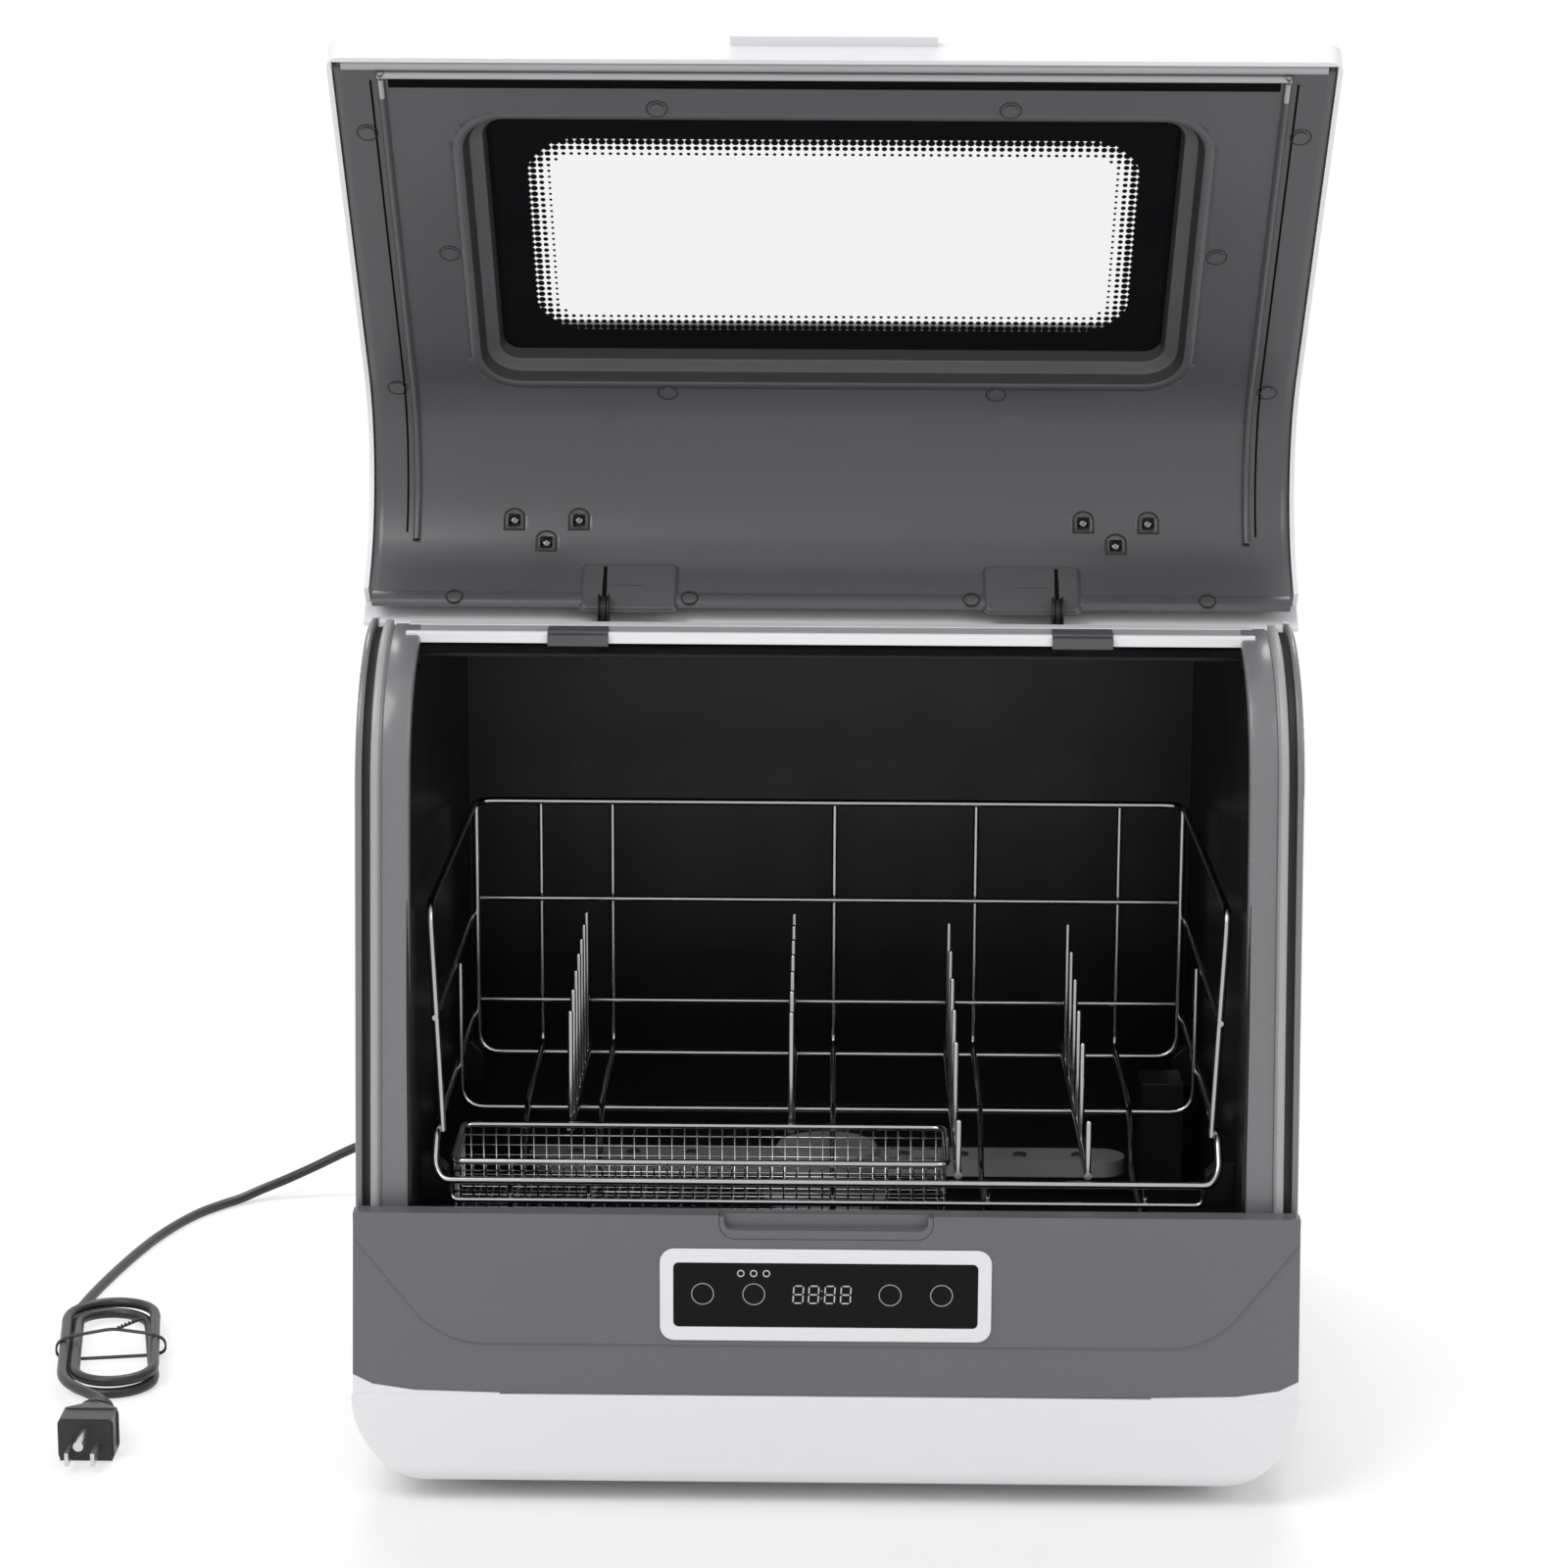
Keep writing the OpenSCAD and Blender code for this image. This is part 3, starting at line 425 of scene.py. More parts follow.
FINISHES = (
    Finish("white_plastic", (0.75, 0.75, 0.77), 0.34, coat=0.15, bump=0.03, variation=0.02),
    Finish("grey_panel", (0.116, 0.118, 0.132), 0.40, bump=0.05, coat=0.1),
    Finish("liner_grey", (0.064, 0.064, 0.070), 0.34, bump=0.05, coat=0.15),
    Finish("light_grey", (0.35, 0.35, 0.36), 0.36),
    Finish("black_plastic", (0.009, 0.009, 0.010), 0.38, specular=0.35),
    Finish("tub_black", (0.0065, 0.0066, 0.0075), 0.34, bump=0.02, specular=0.3),
    Finish("arm_grey", (0.26, 0.26, 0.27), 0.34),
    Finish("white_inner", (0.62, 0.62, 0.61), 0.5),
    Finish("rubber", (0.009, 0.009, 0.010), 0.42, bump=0.08, coat=0.1),
    Finish("seal", (0.035, 0.035, 0.036), 0.45),
    Finish("wire", (0.47, 0.47, 0.48), 0.17, Surface.METAL, bump=0.02),
    Finish("steel", (0.66, 0.66, 0.67), 0.24, Surface.METAL, bump=0.03),
    Finish("spring", (0.58, 0.58, 0.60), 0.30, Surface.METAL, bump=0.03),
    Finish("glass_black", (0.005, 0.005, 0.006), 0.07, bump=0.01, variation=0.1, specular=0.3),
    Finish("panel_glass", (0.004, 0.004, 0.005), 0.08, bump=0.01, specular=0.12),
    Finish("pcb", (0.012, 0.065, 0.025), 0.40, bump=0.10),
    Finish("tank", (0.62, 0.66, 0.68), 0.30, coat=0.2),
    Finish("frame_band", (0.165, 0.166, 0.175), 0.28, coat=0.15),
    # Darker liner: painted shade on the walls of the window's recess, the screw pockets and the plugs' rims.
    Finish("liner_painted_shade", (0.020, 0.020, 0.022), 0.45, specular=0.25),
    # Near black: painted shade laid in gaps, slits and slots.
    Finish("gap_painted_shade", (0.003, 0.003, 0.003), 0.8, bump=0.0, specular=0.05),
    # Darkened steel: painted shade on the screw heads down in their pockets.
    Finish("screw_painted_shade", (0.20, 0.20, 0.21), 0.35, Surface.METAL, bump=0.03),
    Finish("mark_grey", (0.33, 0.33, 0.33), 0.5, bump=0.0),
    Finish("mark_white", (0.50, 0.50, 0.50), 0.5, bump=0.0),
)


class Palette:
    """Every finish of the machine, built once and looked up by name."""

    def __init__(self) -> None:
        """Builds the effect groups and the finishes."""
        self.groups = {t.name: t for t in (make_moulded(), make_drawn(), make_dots())}
        self.materials = {f.name: f.build(self.groups) for f in FINISHES}
        log.info("built %d finishes", len(self.materials))

    def __getitem__(self, name: str) -> bpy.types.Material:
        """Args:
            name: the finish's name.

        Returns:
            Its material.
        """
        return self.materials[name]


# ---- lid geometry -----------------------------------------------------------


@dataclass(frozen=True)
class LidSheet:
    """Maps places on the lid to the row frame, with the lid open.

    Args:
        front: y of the front plane, in mm.
        edge: height of the free edge when closed.
        radius: outer radius of the curved corner.
        top: height of the closed top.
        hinge: y and z of the hinge axis.
        turn: how far the lid is open, in degrees.
    """

    front: float = FRONT_PLANE
    edge: float = 150.0
    radius: float = 80.0
    top: float = 432.0
    hinge: tuple[float, float] = (-101.0, 420.0)
    turn: float = -141.0

    def closed(self, along: float, depth: float) -> tuple[float, float]:
        """Args:
            along: distance from the free edge along the outer surface, in mm.
            depth: depth below the outer surface, in mm.

        Returns:
            y and z with the lid closed, in mm.
        """
        bend = self.top - self.radius
        if self.edge + along <= bend:
            return self.front + depth, self.edge + along
        angle = (along - bend + self.edge) / self.radius
        if angle <= math.pi / 2:
            reach = self.radius - depth
            return self.front + self.radius - reach * math.cos(angle), bend + reach * math.sin(angle)
        return self.front + self.radius + (angle - math.pi / 2) * self.radius, self.top - depth

    def point(self, x: float, along: float, depth: float) -> Vector:
        """Args:
            x: place across the lid, in mm.
            along: distance from the free edge along the outer surface, in mm.
            depth: depth below the outer surface, in mm.

        Returns:
            The point with the lid open, in metres.
        """
        return self.opened(x, *self.closed(along, depth))

    def opened(self, x: float, y: float, z: float) -> Vector:
        """Args:
            x: place across, in mm.
            y: place from front to back with the lid closed, in mm.
            z: height with the lid closed, in mm.

        Returns:
            The point with the lid open, in metres.
        """
        c, s = math.cos(math.radians(self.turn)), math.sin(math.radians(self.turn))
        dy, dz = y - self.hinge[0], z - self.hinge[1]
        return Vector((x, self.hinge[0] + dy * c - dz * s, self.hinge[1] + dy * s + dz * c)) * MM


# ---- geometry helpers -------------------------------------------------------


def link(obj: bpy.types.Object, finish: str, palette: Palette, body: str,
         stands_for: Sequence[str] = ()) -> bpy.types.Object:
    """Puts a new piece into the scene.

    Args:
        obj: the piece.
        finish: its finish.
        palette: the finishes.
        body: the CAD body it moves with.
        stands_for: CAD nodes that it replaces.

    Returns:
        The piece.
    """
    bpy.context.scene.collection.objects.link(obj)
    obj.data.materials.append(palette[finish])
    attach(obj, body)
    if stands_for:
        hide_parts(*stands_for)
    log.info("piece %s on %s", obj.name, body)
    return obj


def mesh_object(name: str, verts: Sequence[Point], faces: Sequence[Sequence[int]],
                smooth: bool = True) -> bpy.types.Object:
    """Args:
        name: the piece's name.
        verts: corners, in metres.
        faces: faces by corner number.
        smooth: whether the faces are shaded smooth.

    Returns:
        The mesh object.
    """
    mesh = bpy.data.meshes.new(name)
    mesh.from_pydata([tuple(v) for v in verts], [], faces)
    for poly in mesh.polygons:
        poly.use_smooth = smooth
    return bpy.data.objects.new(name, mesh)


def height_sheet(name: str, xs: Sequence[float], ss: Sequence[float],
                 place: Callable[[float, float], Vector],
                 keep: Callable[[float, float], bool] = lambda x, s: True) -> bpy.types.Object:
    """Makes a sheet from a grid of places.

    Args:
        name: the piece's name.
        xs: stations across.
        ss: stations along.
        place: gives the point at a station.
        keep: says whether a cell, given by its middle, belongs to the sheet.

    Returns:
        The mesh object, with a map of its stations in millimetres over 1000.
    """
    verts = [place(x, s) for s in ss for x in xs]
    wide = len(xs)
    faces = [(j * wide + i, j * wide + i + 1, (j + 1) * wide + i + 1, (j + 1) * wide + i)
             for j in range(len(ss) - 1) for i in range(wide - 1)
             if keep((xs[i] + xs[i + 1]) / 2, (ss[j] + ss[j + 1]) / 2)]
    obj = mesh_object(name, verts, faces)
    layer = obj.data.uv_layers.new(name="place")
    for loop in obj.data.loops:
        j, i = divmod(loop.vertex_index, wide)
        layer.data[loop.index].uv = (xs[i] * MM, ss[j] * MM)
    return obj


def circle(radius: float, count: int, middle: Place = (0.0, 0.0)) -> list[Place]:
    """Args:
        radius: the circle's radius.
        count: points on it.
        middle: its middle.

    Returns:
        The circle's points.
    """
    turns = [math.tau * k / count for k in range(count)]
    return [(middle[0] + radius * math.cos(a), middle[1] + radius * math.sin(a)) for a in turns]


@dataclass
class Shell:
    """Corners, in metres, and faces of one piece, added part by part."""

    verts: list[Vector] = field(default_factory=list)
    faces: list[tuple[int, ...]] = field(default_factory=list)

    def band(self, *rings: Sequence[Vector]) -> None:
        """Joins closed rings of corners, one after the other.

        Args:
            rings: the rings, each with as many corners, in metres.
        """
        count = len(rings[0])
        for number, ring in enumerate(rings):
            high = len(self.verts)
            low = high - count
            self.verts += ring
            if number:
                self.faces += [(low + i, low + (i + 1) % count, high + (i + 1) % count, high + i)
                               for i in range(count)]

    def cap(self, corners: int, back: int = 0, turned: bool = False) -> None:
        """Closes a ring with one face.

        Args:
            corners: how many corners the ring has.
            back: how many corners were added after it.
            turned: whether the face looks the other way.
        """
        end = len(self.verts) - back
        face = tuple(range(end - corners, end))
        self.faces.append(face[::-1] if turned else face)

    def made(self, name: str, smooth: bool = True) -> bpy.types.Object:
        """Args:
            name: the piece's name.
            smooth: whether the faces are shaded smooth.

        Returns:
            The mesh object.
        """
        return mesh_object(name, self.verts, self.faces, smooth)


def stations(low: float, high: float, step: float, extra: Iterable[float] = ()) -> list[float]:
    """Args:
        low: first station.
        high: last station.
        step: widest spacing.
        extra: stations that have to be among them.

    Returns:
        Sorted stations.
    """
    count = max(1, math.ceil((high - low) / step))
    made = {round(low + (high - low) * k / count, 4) for k in range(count + 1)}
    for value in extra:
        if low <= value <= high:
            made = {m for m in made if abs(m - value) > step * 0.3 or m in (low, high)}
            made.add(round(value, 4))
    return sorted(made)


def rounded(points: Sequence[Point], radius: float, steps: int = 6,
            closed: bool = False) -> list[Vector]:
    """Rounds the corners of a path.

    Args:
        points: the path's corners.
        radius: how far from each corner the bend starts.
        steps: points in each bend.
        closed: whether the path runs back to its start.

    Returns:
        The rounded path.
    """
    pts = [Vector(p) for p in points]
    count = len(pts)
    made: list[Vector] = []
    for i, p in enumerate(pts):
        if not closed and i in (0, count - 1):
            made.append(p)
            continue
        a, b = pts[i - 1] - p, pts[(i + 1) % count] - p
        reach = min(radius, a.length * 0.49, b.length * 0.49)
        start, end = p + a.normalized() * reach, p + b.normalized() * reach
        for k in range(steps + 1):
            t = k / steps
            made.append((1 - t) ** 2 * start + 2 * t * (1 - t) * p + t ** 2 * end)
    return made


@dataclass(frozen=True)
class Wire:
    """One round wire.

    Args:
        points: its line, in mm.
        diameter: its diameter, in mm.
        closed: whether it runs back to its start.
        tip: whether its far end is rounded off.
    """

    points: Sequence[Point]
    diameter: float
    closed: bool = False
    tip: bool = False

    def stops(self) -> list[tuple[Vector, float]]:
        """Returns:
            Each point with its share of the full diameter.
        """
        pts = [Vector(p) for p in self.points]
        if not self.tip:
            return [(p, 1.0) for p in pts]
        end, back = pts[-1], (pts[-2] - pts[-1]).normalized() * self.diameter / 2
        dome = [(end + back * (1 - math.sin(a)), math.cos(a)) for a in (0.0, 0.4, 0.8, 1.2, 1.5)]
        return [(p, 1.0) for p in pts[:-1]] + dome


def wires(name: str, paths: Sequence[Wire], sides: int = 3) -> bpy.types.Object:
    """Makes round wires as one curve object.

    Args:
        name: the piece's name.
        paths: its wires.
        sides: resolution of the round section.

    Returns:
        The curve object.
    """
    data = bpy.data.curves.new(name, "CURVE")
    data.dimensions = "3D"
    widest = max(w.diameter for w in paths)
    data.bevel_depth = widest / 2 * MM
    data.bevel_resolution = sides
    data.use_fill_caps = True
    for wire in paths:
        stops = wire.stops()
        spline = data.splines.new("POLY")
        spline.points.add(len(stops) - 1)
        for slot, (p, share) in zip(spline.points, stops):
            slot.co = (*(p * MM), 1.0)
            slot.radius = share * wire.diameter / widest
        spline.use_cyclic_u = wire.closed
        spline.use_smooth = True
    return bpy.data.objects.new(name, data)


def frame_ring(name: str, outline: Callable[[float], Outline], insets: Sequence[float],
               place: Callable[[float, float, int], Vector]) -> bpy.types.Object:
    """Makes a ring of faces between insets of one outline.

    Args:
        name: the piece's name.
        outline: gives the outline's points at an inset.
        insets: the insets, one after the other.
        place: gives the point for x, along and the number of the inset.

    Returns:
        The mesh object.
    """
    shell = Shell()
    shell.band(*([place(x, s, k) for x, s in outline(inset)] for k, inset in enumerate(insets)))
    return shell.made(name)


def rounded_box(cx: float, cy: float, w: float, h: float, r: float, steps: int = 8) -> Outline:
    """Args:
        cx: middle across.
        cy: middle along.
        w: width.
        h: height.
        r: corner radius.
        steps: points in each corner.

    Returns:
        Outline points of a rounded rectangle.
    """
    made = []
    for sx, sy, start in ((1, 1, 0), (-1, 1, 90), (-1, -1, 180), (1, -1, 270)):
        mx, my = cx + sx * (w / 2 - r), cy + sy * (h / 2 - r)
        turns = [math.radians(start + 90 * k / steps) for k in range(steps + 1)]
        made += [(mx + r * math.cos(a), my + r * math.sin(a)) for a in turns]
    return made


# ---- lid --------------------------------------------------------------------

SIDES = ((-1, "left"), (1, "right"))


def mirrored(side: int, low: float, high: float) -> Place:
    """Args:
        side: -1 for the left, 1 for the right.
        low: the end nearer the middle.
        high: the end nearer the side.

    Returns:
        Both ends on that side, the lower first.
    """
    return (low, high) if side > 0 else (-high, -low)


@dataclass
class LidLining:
    """Inner face of the lid: liner, window border, ribs, strips and hinge trim, in mm.

    Args:
        palette: the finishes.
        sheet: places on the lid.
        half: half the liner's width.
        depth: depth of the liner's face below the lid's outer surface.
        window: middle across and along, width and height of the window's recess.
        corner: corner radius of the recess.
        slit: middle of the slit in the liner beside each seal rib.
        slit_run: where the slits start and end along the lid.
        glass_middle: middle of the glass along the lid.
        glass_size: width and height of the glass in view.
        hinge_x: place of each hinge across.
    """

    palette: Palette
    sheet: LidSheet = field(default_factory=LidSheet)
    half: float = 224.3
    depth: float = 11.7
    window: tuple[float, float, float, float] = (0.0, 121.5, 341.0, 172.0)
    corner: float = 20.0
    slit: float = 208.3
    slit_run: Place = (12.0, 300.0)
    glass_middle: float = 115.4
    glass_size: Place = (318.4, 149.4)
    hinge_x: float = 110.0

    # Screw pockets and plugs: distance from the middle, and along from the free edge.
    POCKETS = ((155.8, 291.6), (124.0, 291.4), (139.8, 305.0))
    PLUGS = ((80, 29.3), (212.3, 44.5), (180, 120), (211.8, 211.5), (80, 214))
    END_PLUGS = ((183, 343.4), (68.5, 343.4))
    # A pocket's hole in the liner: half width, and its ends below and above the screw.
    POCKET_HOLE = (3.0, -3.0, 4.6)
    # Rows of the window's border: how far drawn in at the sides, toward the free edge and toward the
    # hinge, and the depth.
    BORDER = (
        (-3.9, -3.9, -3.9, 11.6),
        (-3.6, -3.6, -3.6, 12.05),
        (0.0, 0.0, 0.0, 12.1),
        (0.8, 0.5, 1.2, 11.7),
        (3.8, 1.6, 6.0, 8.9),
        (4.5, 2.0, 6.9, 8.5),
        (9.2, 3.6, 12.6, 8.3),
        (10.0, 4.0, 13.6, 7.9),
        (11.7, 5.2, 17.4, 5.8),
        (12.2, 5.8, 18.4, 4.9),
    )
    # Pieces of the border: name, first row, last row and finish; the walls take the liner's painted shade.
    BORDER_PIECES = (
        ("window_rim", 0, 3, "liner_grey"),
        ("window_wall", 3, 4, "liner_painted_shade"),
        ("window_ledge", 4, 7, "liner_grey"),
        ("window_step", 7, 9, "liner_painted_shade"),
    )
    # Gap round the glass, a ring painted near black as shade: drawn in, and depth.
    GAP = ((12.0, 5.9), (12.05, 5.3), (13.6, 5.25))
    # Printed dots round the glass, in metres.
    PRINT = {"Pitch": 0.0036, "Half Width": 0.1308, "Half Height": 0.0505, "Rows": 3.0, "Corner": 0.012}

    def build(self) -> None:
        """Builds every piece of the lining."""
        self.liner()
        self.window_frame()
        self.glass()
        self.ribs()
        self.edge_strips()
        self.hinge_trim()
        self.screws()
        self.outside_window()

    def inside_window(self, x: float, s: float, grow: float = 0.0) -> bool:
        """Args:
            x: place across.
            s: place along.
            grow: how far the outline is grown.

        Returns:
            Whether the place is inside the window's recess.
        """
        cx, cs, w, h = self.window
        r = self.corner
        dx = max(abs(x - cx) - (w / 2 + grow - r), 0.0)
        ds = max(abs(s - cs) - (h / 2 + grow - r), 0.0)
        return math.hypot(dx, ds) < r

    def surface_depth(self, x: float, s: float) -> float:
        """Args:
            x: place across.
            s: place along.

        Returns:
            Depth of the liner's face below the outer surface.
        """
        half_width, wall, deep = 1.1, 0.5, 1.6  # of the slit
        if not self.slit_run[0] < s < self.slit_run[1]:
            return self.depth
        away = abs(abs(x) - self.slit)
        return self.depth - deep * min(1.0, max(0.0, (half_width - away) / wall))

    def liner(self) -> None:
        """Builds the moulded liner with its recess and slits, open where the screw pockets sit."""
        reach, below, above = self.POCKET_HOLE
        start, end, step_x, step_s = 5.5, 342.5, 4.0, 2.2
        recess_gap, skin = 1.2, 0.6
        fine = [px + d for px, _ in self.POCKETS for d in (-reach, reach)]
        fine += [self.slit + d for d in (-1.5, -0.8, 0.0, 0.8, 1.5)] + [self.window[2] / 2]
        xs = stations(-self.half, self.half, step_x, [side * x for x in fine for side in (-1, 1)])
        ss = stations(start, end, step_s, [ps + d for _, ps in self.POCKETS for d in (below, above)])

        def place(x: float, s: float) -> Vector:
            """Point of the liner at a station."""
            return self.sheet.point(x, s, self.surface_depth(x, s))

        def keep(x: float, s: float) -> bool:
            """Whether a cell is neither in the window's recess nor in a pocket."""
            pocket = any(abs(abs(x) - px) < reach and below < s - ps < above for px, ps in self.POCKETS)
            return not pocket and not self.inside_window(x, s, recess_gap)

        obj = height_sheet("liner_face", xs, ss, place, keep)
        solid = obj.modifiers.new("thickness", "SOLIDIFY")
        solid.thickness = skin * MM
        solid.offset = 0.0
        link(obj, "liner_grey", self.palette, "lid", ("lid_liner",))

    def ring(self, name: str, finish: str, outline: Callable[[float], Outline], rows: Sequence[Place],
             stands_for: Sequence[str] = ()) -> None:
        """Builds a ring of the lining from rows at different depths.

        Args:
            name: the piece's name.
            finish: its finish.
            outline: gives the outline's points at an inset.
            rows: inset and depth of each row.
            stands_for: CAD nodes that it replaces.
        """
        obj = frame_ring(name, outline, [inset for inset, _ in rows],
                         lambda x, s, k: self.sheet.point(x, s, rows[k][1]))
        link(obj, finish, self.palette, "lid", stands_for)

    def window_frame(self) -> None:
        """Builds the stepped border between liner and glass, with its walls painted darker as shade, and the
        gap inside it painted near black as shade.
        """
        cx, cs, w, h = self.window

        def outline(row: float) -> Outline:
            """Rounded outline of one row of the border."""
            side, far, near, _ = self.BORDER[int(row)]
            middle = cs + (far - near) / 2
            return rounded_box(cx, middle, w - 2 * side, h - far - near, self.corner - side)

        for name, first, last, finish in self.BORDER_PIECES:
            rows = [(row, self.BORDER[row][3]) for row in range(first, last + 1)]
            self.ring(name, finish, outline, rows)
        gap_height, gap_corner = h + 2.6, 8.0

        def gap_outline(inset: float) -> Outline:
            """Rounded outline of one row of the gap."""
            return rounded_box(cx, self.glass_middle, w - 2 * inset, gap_height - 2 * inset, gap_corner)

        self.ring("window_gap", "gap_painted_shade", gap_outline, self.GAP)

    def glass(self) -> None:
        """Builds the printed window: black border, rows of dots and the clear middle."""
        half_w, half_h = self.glass_size[0] / 2, self.glass_size[1] / 2
        cell, depth = 20.0, 5.0
        along = stations(self.glass_middle - half_h, self.glass_middle + half_h, cell)
        obj = height_sheet("window_print", stations(-half_w, half_w, cell), along,
                           lambda x, s: self.sheet.point(x, s, depth))
        link(obj, "glass_black", self.palette, "lid", ("lid_glass",))
        obj.data.materials[0] = self.print_material()

    def print_material(self) -> bpy.types.Material:
        """Returns:
            The printed glass: clear in the middle, opaque where the ink is.
        """
        glass_colour, ink_colour = (0.82, 0.82, 0.84), (0.006, 0.006, 0.007)
        glass_roughness, ink_roughness = 0.05, 0.09
        glass_shine, ink_shine = 0.04, 0.5
        transmission, index = 0.92, 1.05
        mat = bpy.data.materials.new("window_print")
        mat.use_nodes = True
        b = NodeBuilder(mat.node_tree)
        shader = mat.node_tree.nodes["Principled BSDF"]
        place = b.add("ShaderNodeUVMap", uv_map="place")
        moved = b.add("ShaderNodeVectorMath", operation="SUBTRACT")
        b.link(place.outputs[0], moved.inputs[0])
        moved.inputs[1].default_value = (0.0, self.glass_middle * MM, 0.0)
        dots = b.add("ShaderNodeGroup")
        dots.node_tree = self.palette.groups["fx_dots"]
        b.link(moved.outputs[0], dots.inputs["Vector"])
        for label, value in self.PRINT.items():
            dots.inputs[label].default_value = value
        ink = dots.outputs["Ink"]
        b.link(b.blend(ink, glass_colour, ink_colour), shader.inputs["Base Color"])
        b.link(b.ramp(ink, 0.0, 1.0, glass_roughness, ink_roughness), shader.inputs["Roughness"])
        clear = b.math("SUBTRACT", 1.0, ink)
        b.link(b.math("MULTIPLY", clear, transmission), shader.inputs["Transmission Weight"])
        shader.inputs["IOR"].default_value = index
        b.link(b.ramp(ink, 0.0, 1.0, glass_shine, ink_shine), shader.inputs["Specular IOR Level"])
        return mat

    def strip(self, name: str, finish: str, xs: Place, ss: Place, depths: Sequence[float],
              stands_for: Sequence[str] = ()) -> None:
        """Builds a strip with a shaped section across its narrow side.

        Args:
            name: the piece's name.
            finish: its finish.
            xs: ends across.
            ss: ends along.
            depths: depths across the section.
            stands_for: CAD nodes that it replaces.
        """
        upright = abs(xs[1] - xs[0]) < abs(ss[1] - ss[0])
        low, high = xs if upright else ss
        parts = len(depths) - 1
        grid = [low + (high - low) * k / parts for k in range(parts + 1)]
        deep = dict(zip(grid, depths))
        if upright:
            obj = height_sheet(name, grid, stations(*ss, 4.0), lambda x, s: self.sheet.point(x, s, deep[x]))
        else:
            obj = height_sheet(name, stations(*xs, 12.0), grid, lambda x, s: self.sheet.point(x, s, deep[s]))
        link(obj, finish, self.palette, "lid", stands_for)

    def ribs(self) -> None:
        """Builds the seal rib along three sides of the liner and the slits beside it."""
        rib = (11.9, 13.6, 14.3, 14.5, 14.3, 13.6, 11.9)
        end_rib = (12.0, 14.0, 14.7, 14.7, 14.0, 12.0)
        flat = (12.1, 12.1, 12.1)
        rib_width, rib_run = (201.6, 205.6), (8.0, 305.0)
        slit_width, slit_run = (207.9, 208.9), (13.0, 300.0)
        end_width, end_run = (201.8, 205.4), (11.0, 22.0)
        for side, label in SIDES:
            name, first = f"seal_rib_{label}", ("lid_seal",) if side < 0 else ()
            self.strip(name, "liner_grey", mirrored(side, *rib_width), rib_run, rib, first)
        # The slits' floors are flat strips painted near black as shade.
        for side, label in SIDES:
            self.strip(f"side_slit_{label}", "gap_painted_shade", mirrored(side, *slit_width), slit_run, flat)
        self.strip("seal_rib_edge", "light_grey", (-205.0, 205.0), (8.2, 11.2), rib)
        for side, label in SIDES:
            name = f"seal_return_{label[0]}"
            self.strip(name, "light_grey", mirrored(side, *end_width), end_run, end_rib)

    def edge_strips(self) -> None:
        """Builds the pale strip that lines the free edge and the gap behind the seal rib, painted near black
        as shade.
        """
        self.strip("edge_gap", "gap_painted_shade", (-200.5, 200.5), (11.4, 17.0), (12.4, 12.4, 12.4))
        section = (11.2, 12.3, 12.6, 12.6, 12.2, 11.6)
        self.strip("edge_strip", "light_grey", (-221.0, 221.0), (3.2, 7.6), section)

    def hinge_trim(self) -> None:
        """Builds the step across the hinge end of the liner and the covers of the hinge arms."""
        step = (11.7, 12.6, 12.8, 12.8, 12.6, 11.0)
        self.strip("liner_end", "liner_grey", (-223.0, 223.0), (338.6, 348.4), step)
        cover = ((-0.9, 11.6), (-0.9, 12.1), (0.0, 12.2), (0.3, 13.4), (1.0, 13.9), (1.4, 13.9), (14.9, 13.9))
        cover_x, cover_s, wide, high, corner = 98.0, 336.5, 46.0, 30.0, 3.0
        slot, slot_half, slot_run = (13.8, 14.2, 14.2, 13.8), 1.3, (324.0, 352.0)

        def outline(inset: float) -> Outline:
            """Rounded outline of the cover in this turn of the loop."""
            r = max(corner - inset, 0.2)
            return rounded_box(side * cover_x, cover_s, wide - 2 * inset, high - 2 * inset, r)

        for side, label in SIDES:
            self.ring(f"hinge_cover_{label}", "liner_grey", outline, cover, ("hinge_covers",))
            # Each hinge slot is a strip painted near black as shade.
            ends = (side * self.hinge_x - slot_half, side * self.hinge_x + slot_half)
            self.strip(f"hinge_slot_{label}", "gap_painted_shade", ends, slot_run, slot)

    def screws(self) -> None:
        """Builds the arched pockets of the hinge screws, the screw heads in them and the plugs' rims, painted
        darker than the liner as shade.
        """
        walls = ((-0.9, 11.6), (-0.8, 12.2), (0.0, 12.4), (0.3, 12.2), (0.4, 9.4), (3.9, 9.4))
        heads = ((2.5, 9.3), (2.4, 10.3), (1.7, 10.7), (1.4, 10.7), (0.4, 10.0))
        rims = ((5.2, 11.6), (5.1, 12.1), (4.5, 12.1), (4.4, 11.6))
        end_rims = [(r - 0.8, depth + 1.1) for r, depth in rims]
        spots = self.POCKETS
        self.repeated("screw_pockets", "liner_painted_shade", walls, spots, self.arch, filled=True)
        self.repeated("screw_heads", "screw_painted_shade", heads, spots, self.star, ("lid_screws",), filled=True)
        self.repeated("plug_rims", "liner_painted_shade", rims, self.PLUGS, self.star)
        self.repeated("end_plug_rims", "liner_painted_shade", end_rims, self.END_PLUGS, self.star)

    @staticmethod
    def arch(inset: float) -> Outline:
        """Args:
            inset: how far the outline is drawn in.

        Returns:
            An arch with a flat foot, from its screw's middle, in 16 points.
        """
        r = 4.5 - inset
        rise, foot, parts = 1.5, 6.0 - inset, 13
        turns = [math.pi * k / parts for k in range(parts + 1)]
        return [*((-r * math.cos(a), -rise - r * math.sin(a)) for a in turns), (r, foot), (-r, foot)]

    @staticmethod
    def star(r: float) -> Outline:
        """Args:
            r: radius.

        Returns:
            A circle of 16 points, drawn in to a cross where it is small.
        """
        shares = [1.0 if r > 2 or k % 4 == 0 else 0.45 for k in range(16)]
        return [(x * share, y * share) for (x, y), share in zip(circle(r, 16), shares)]

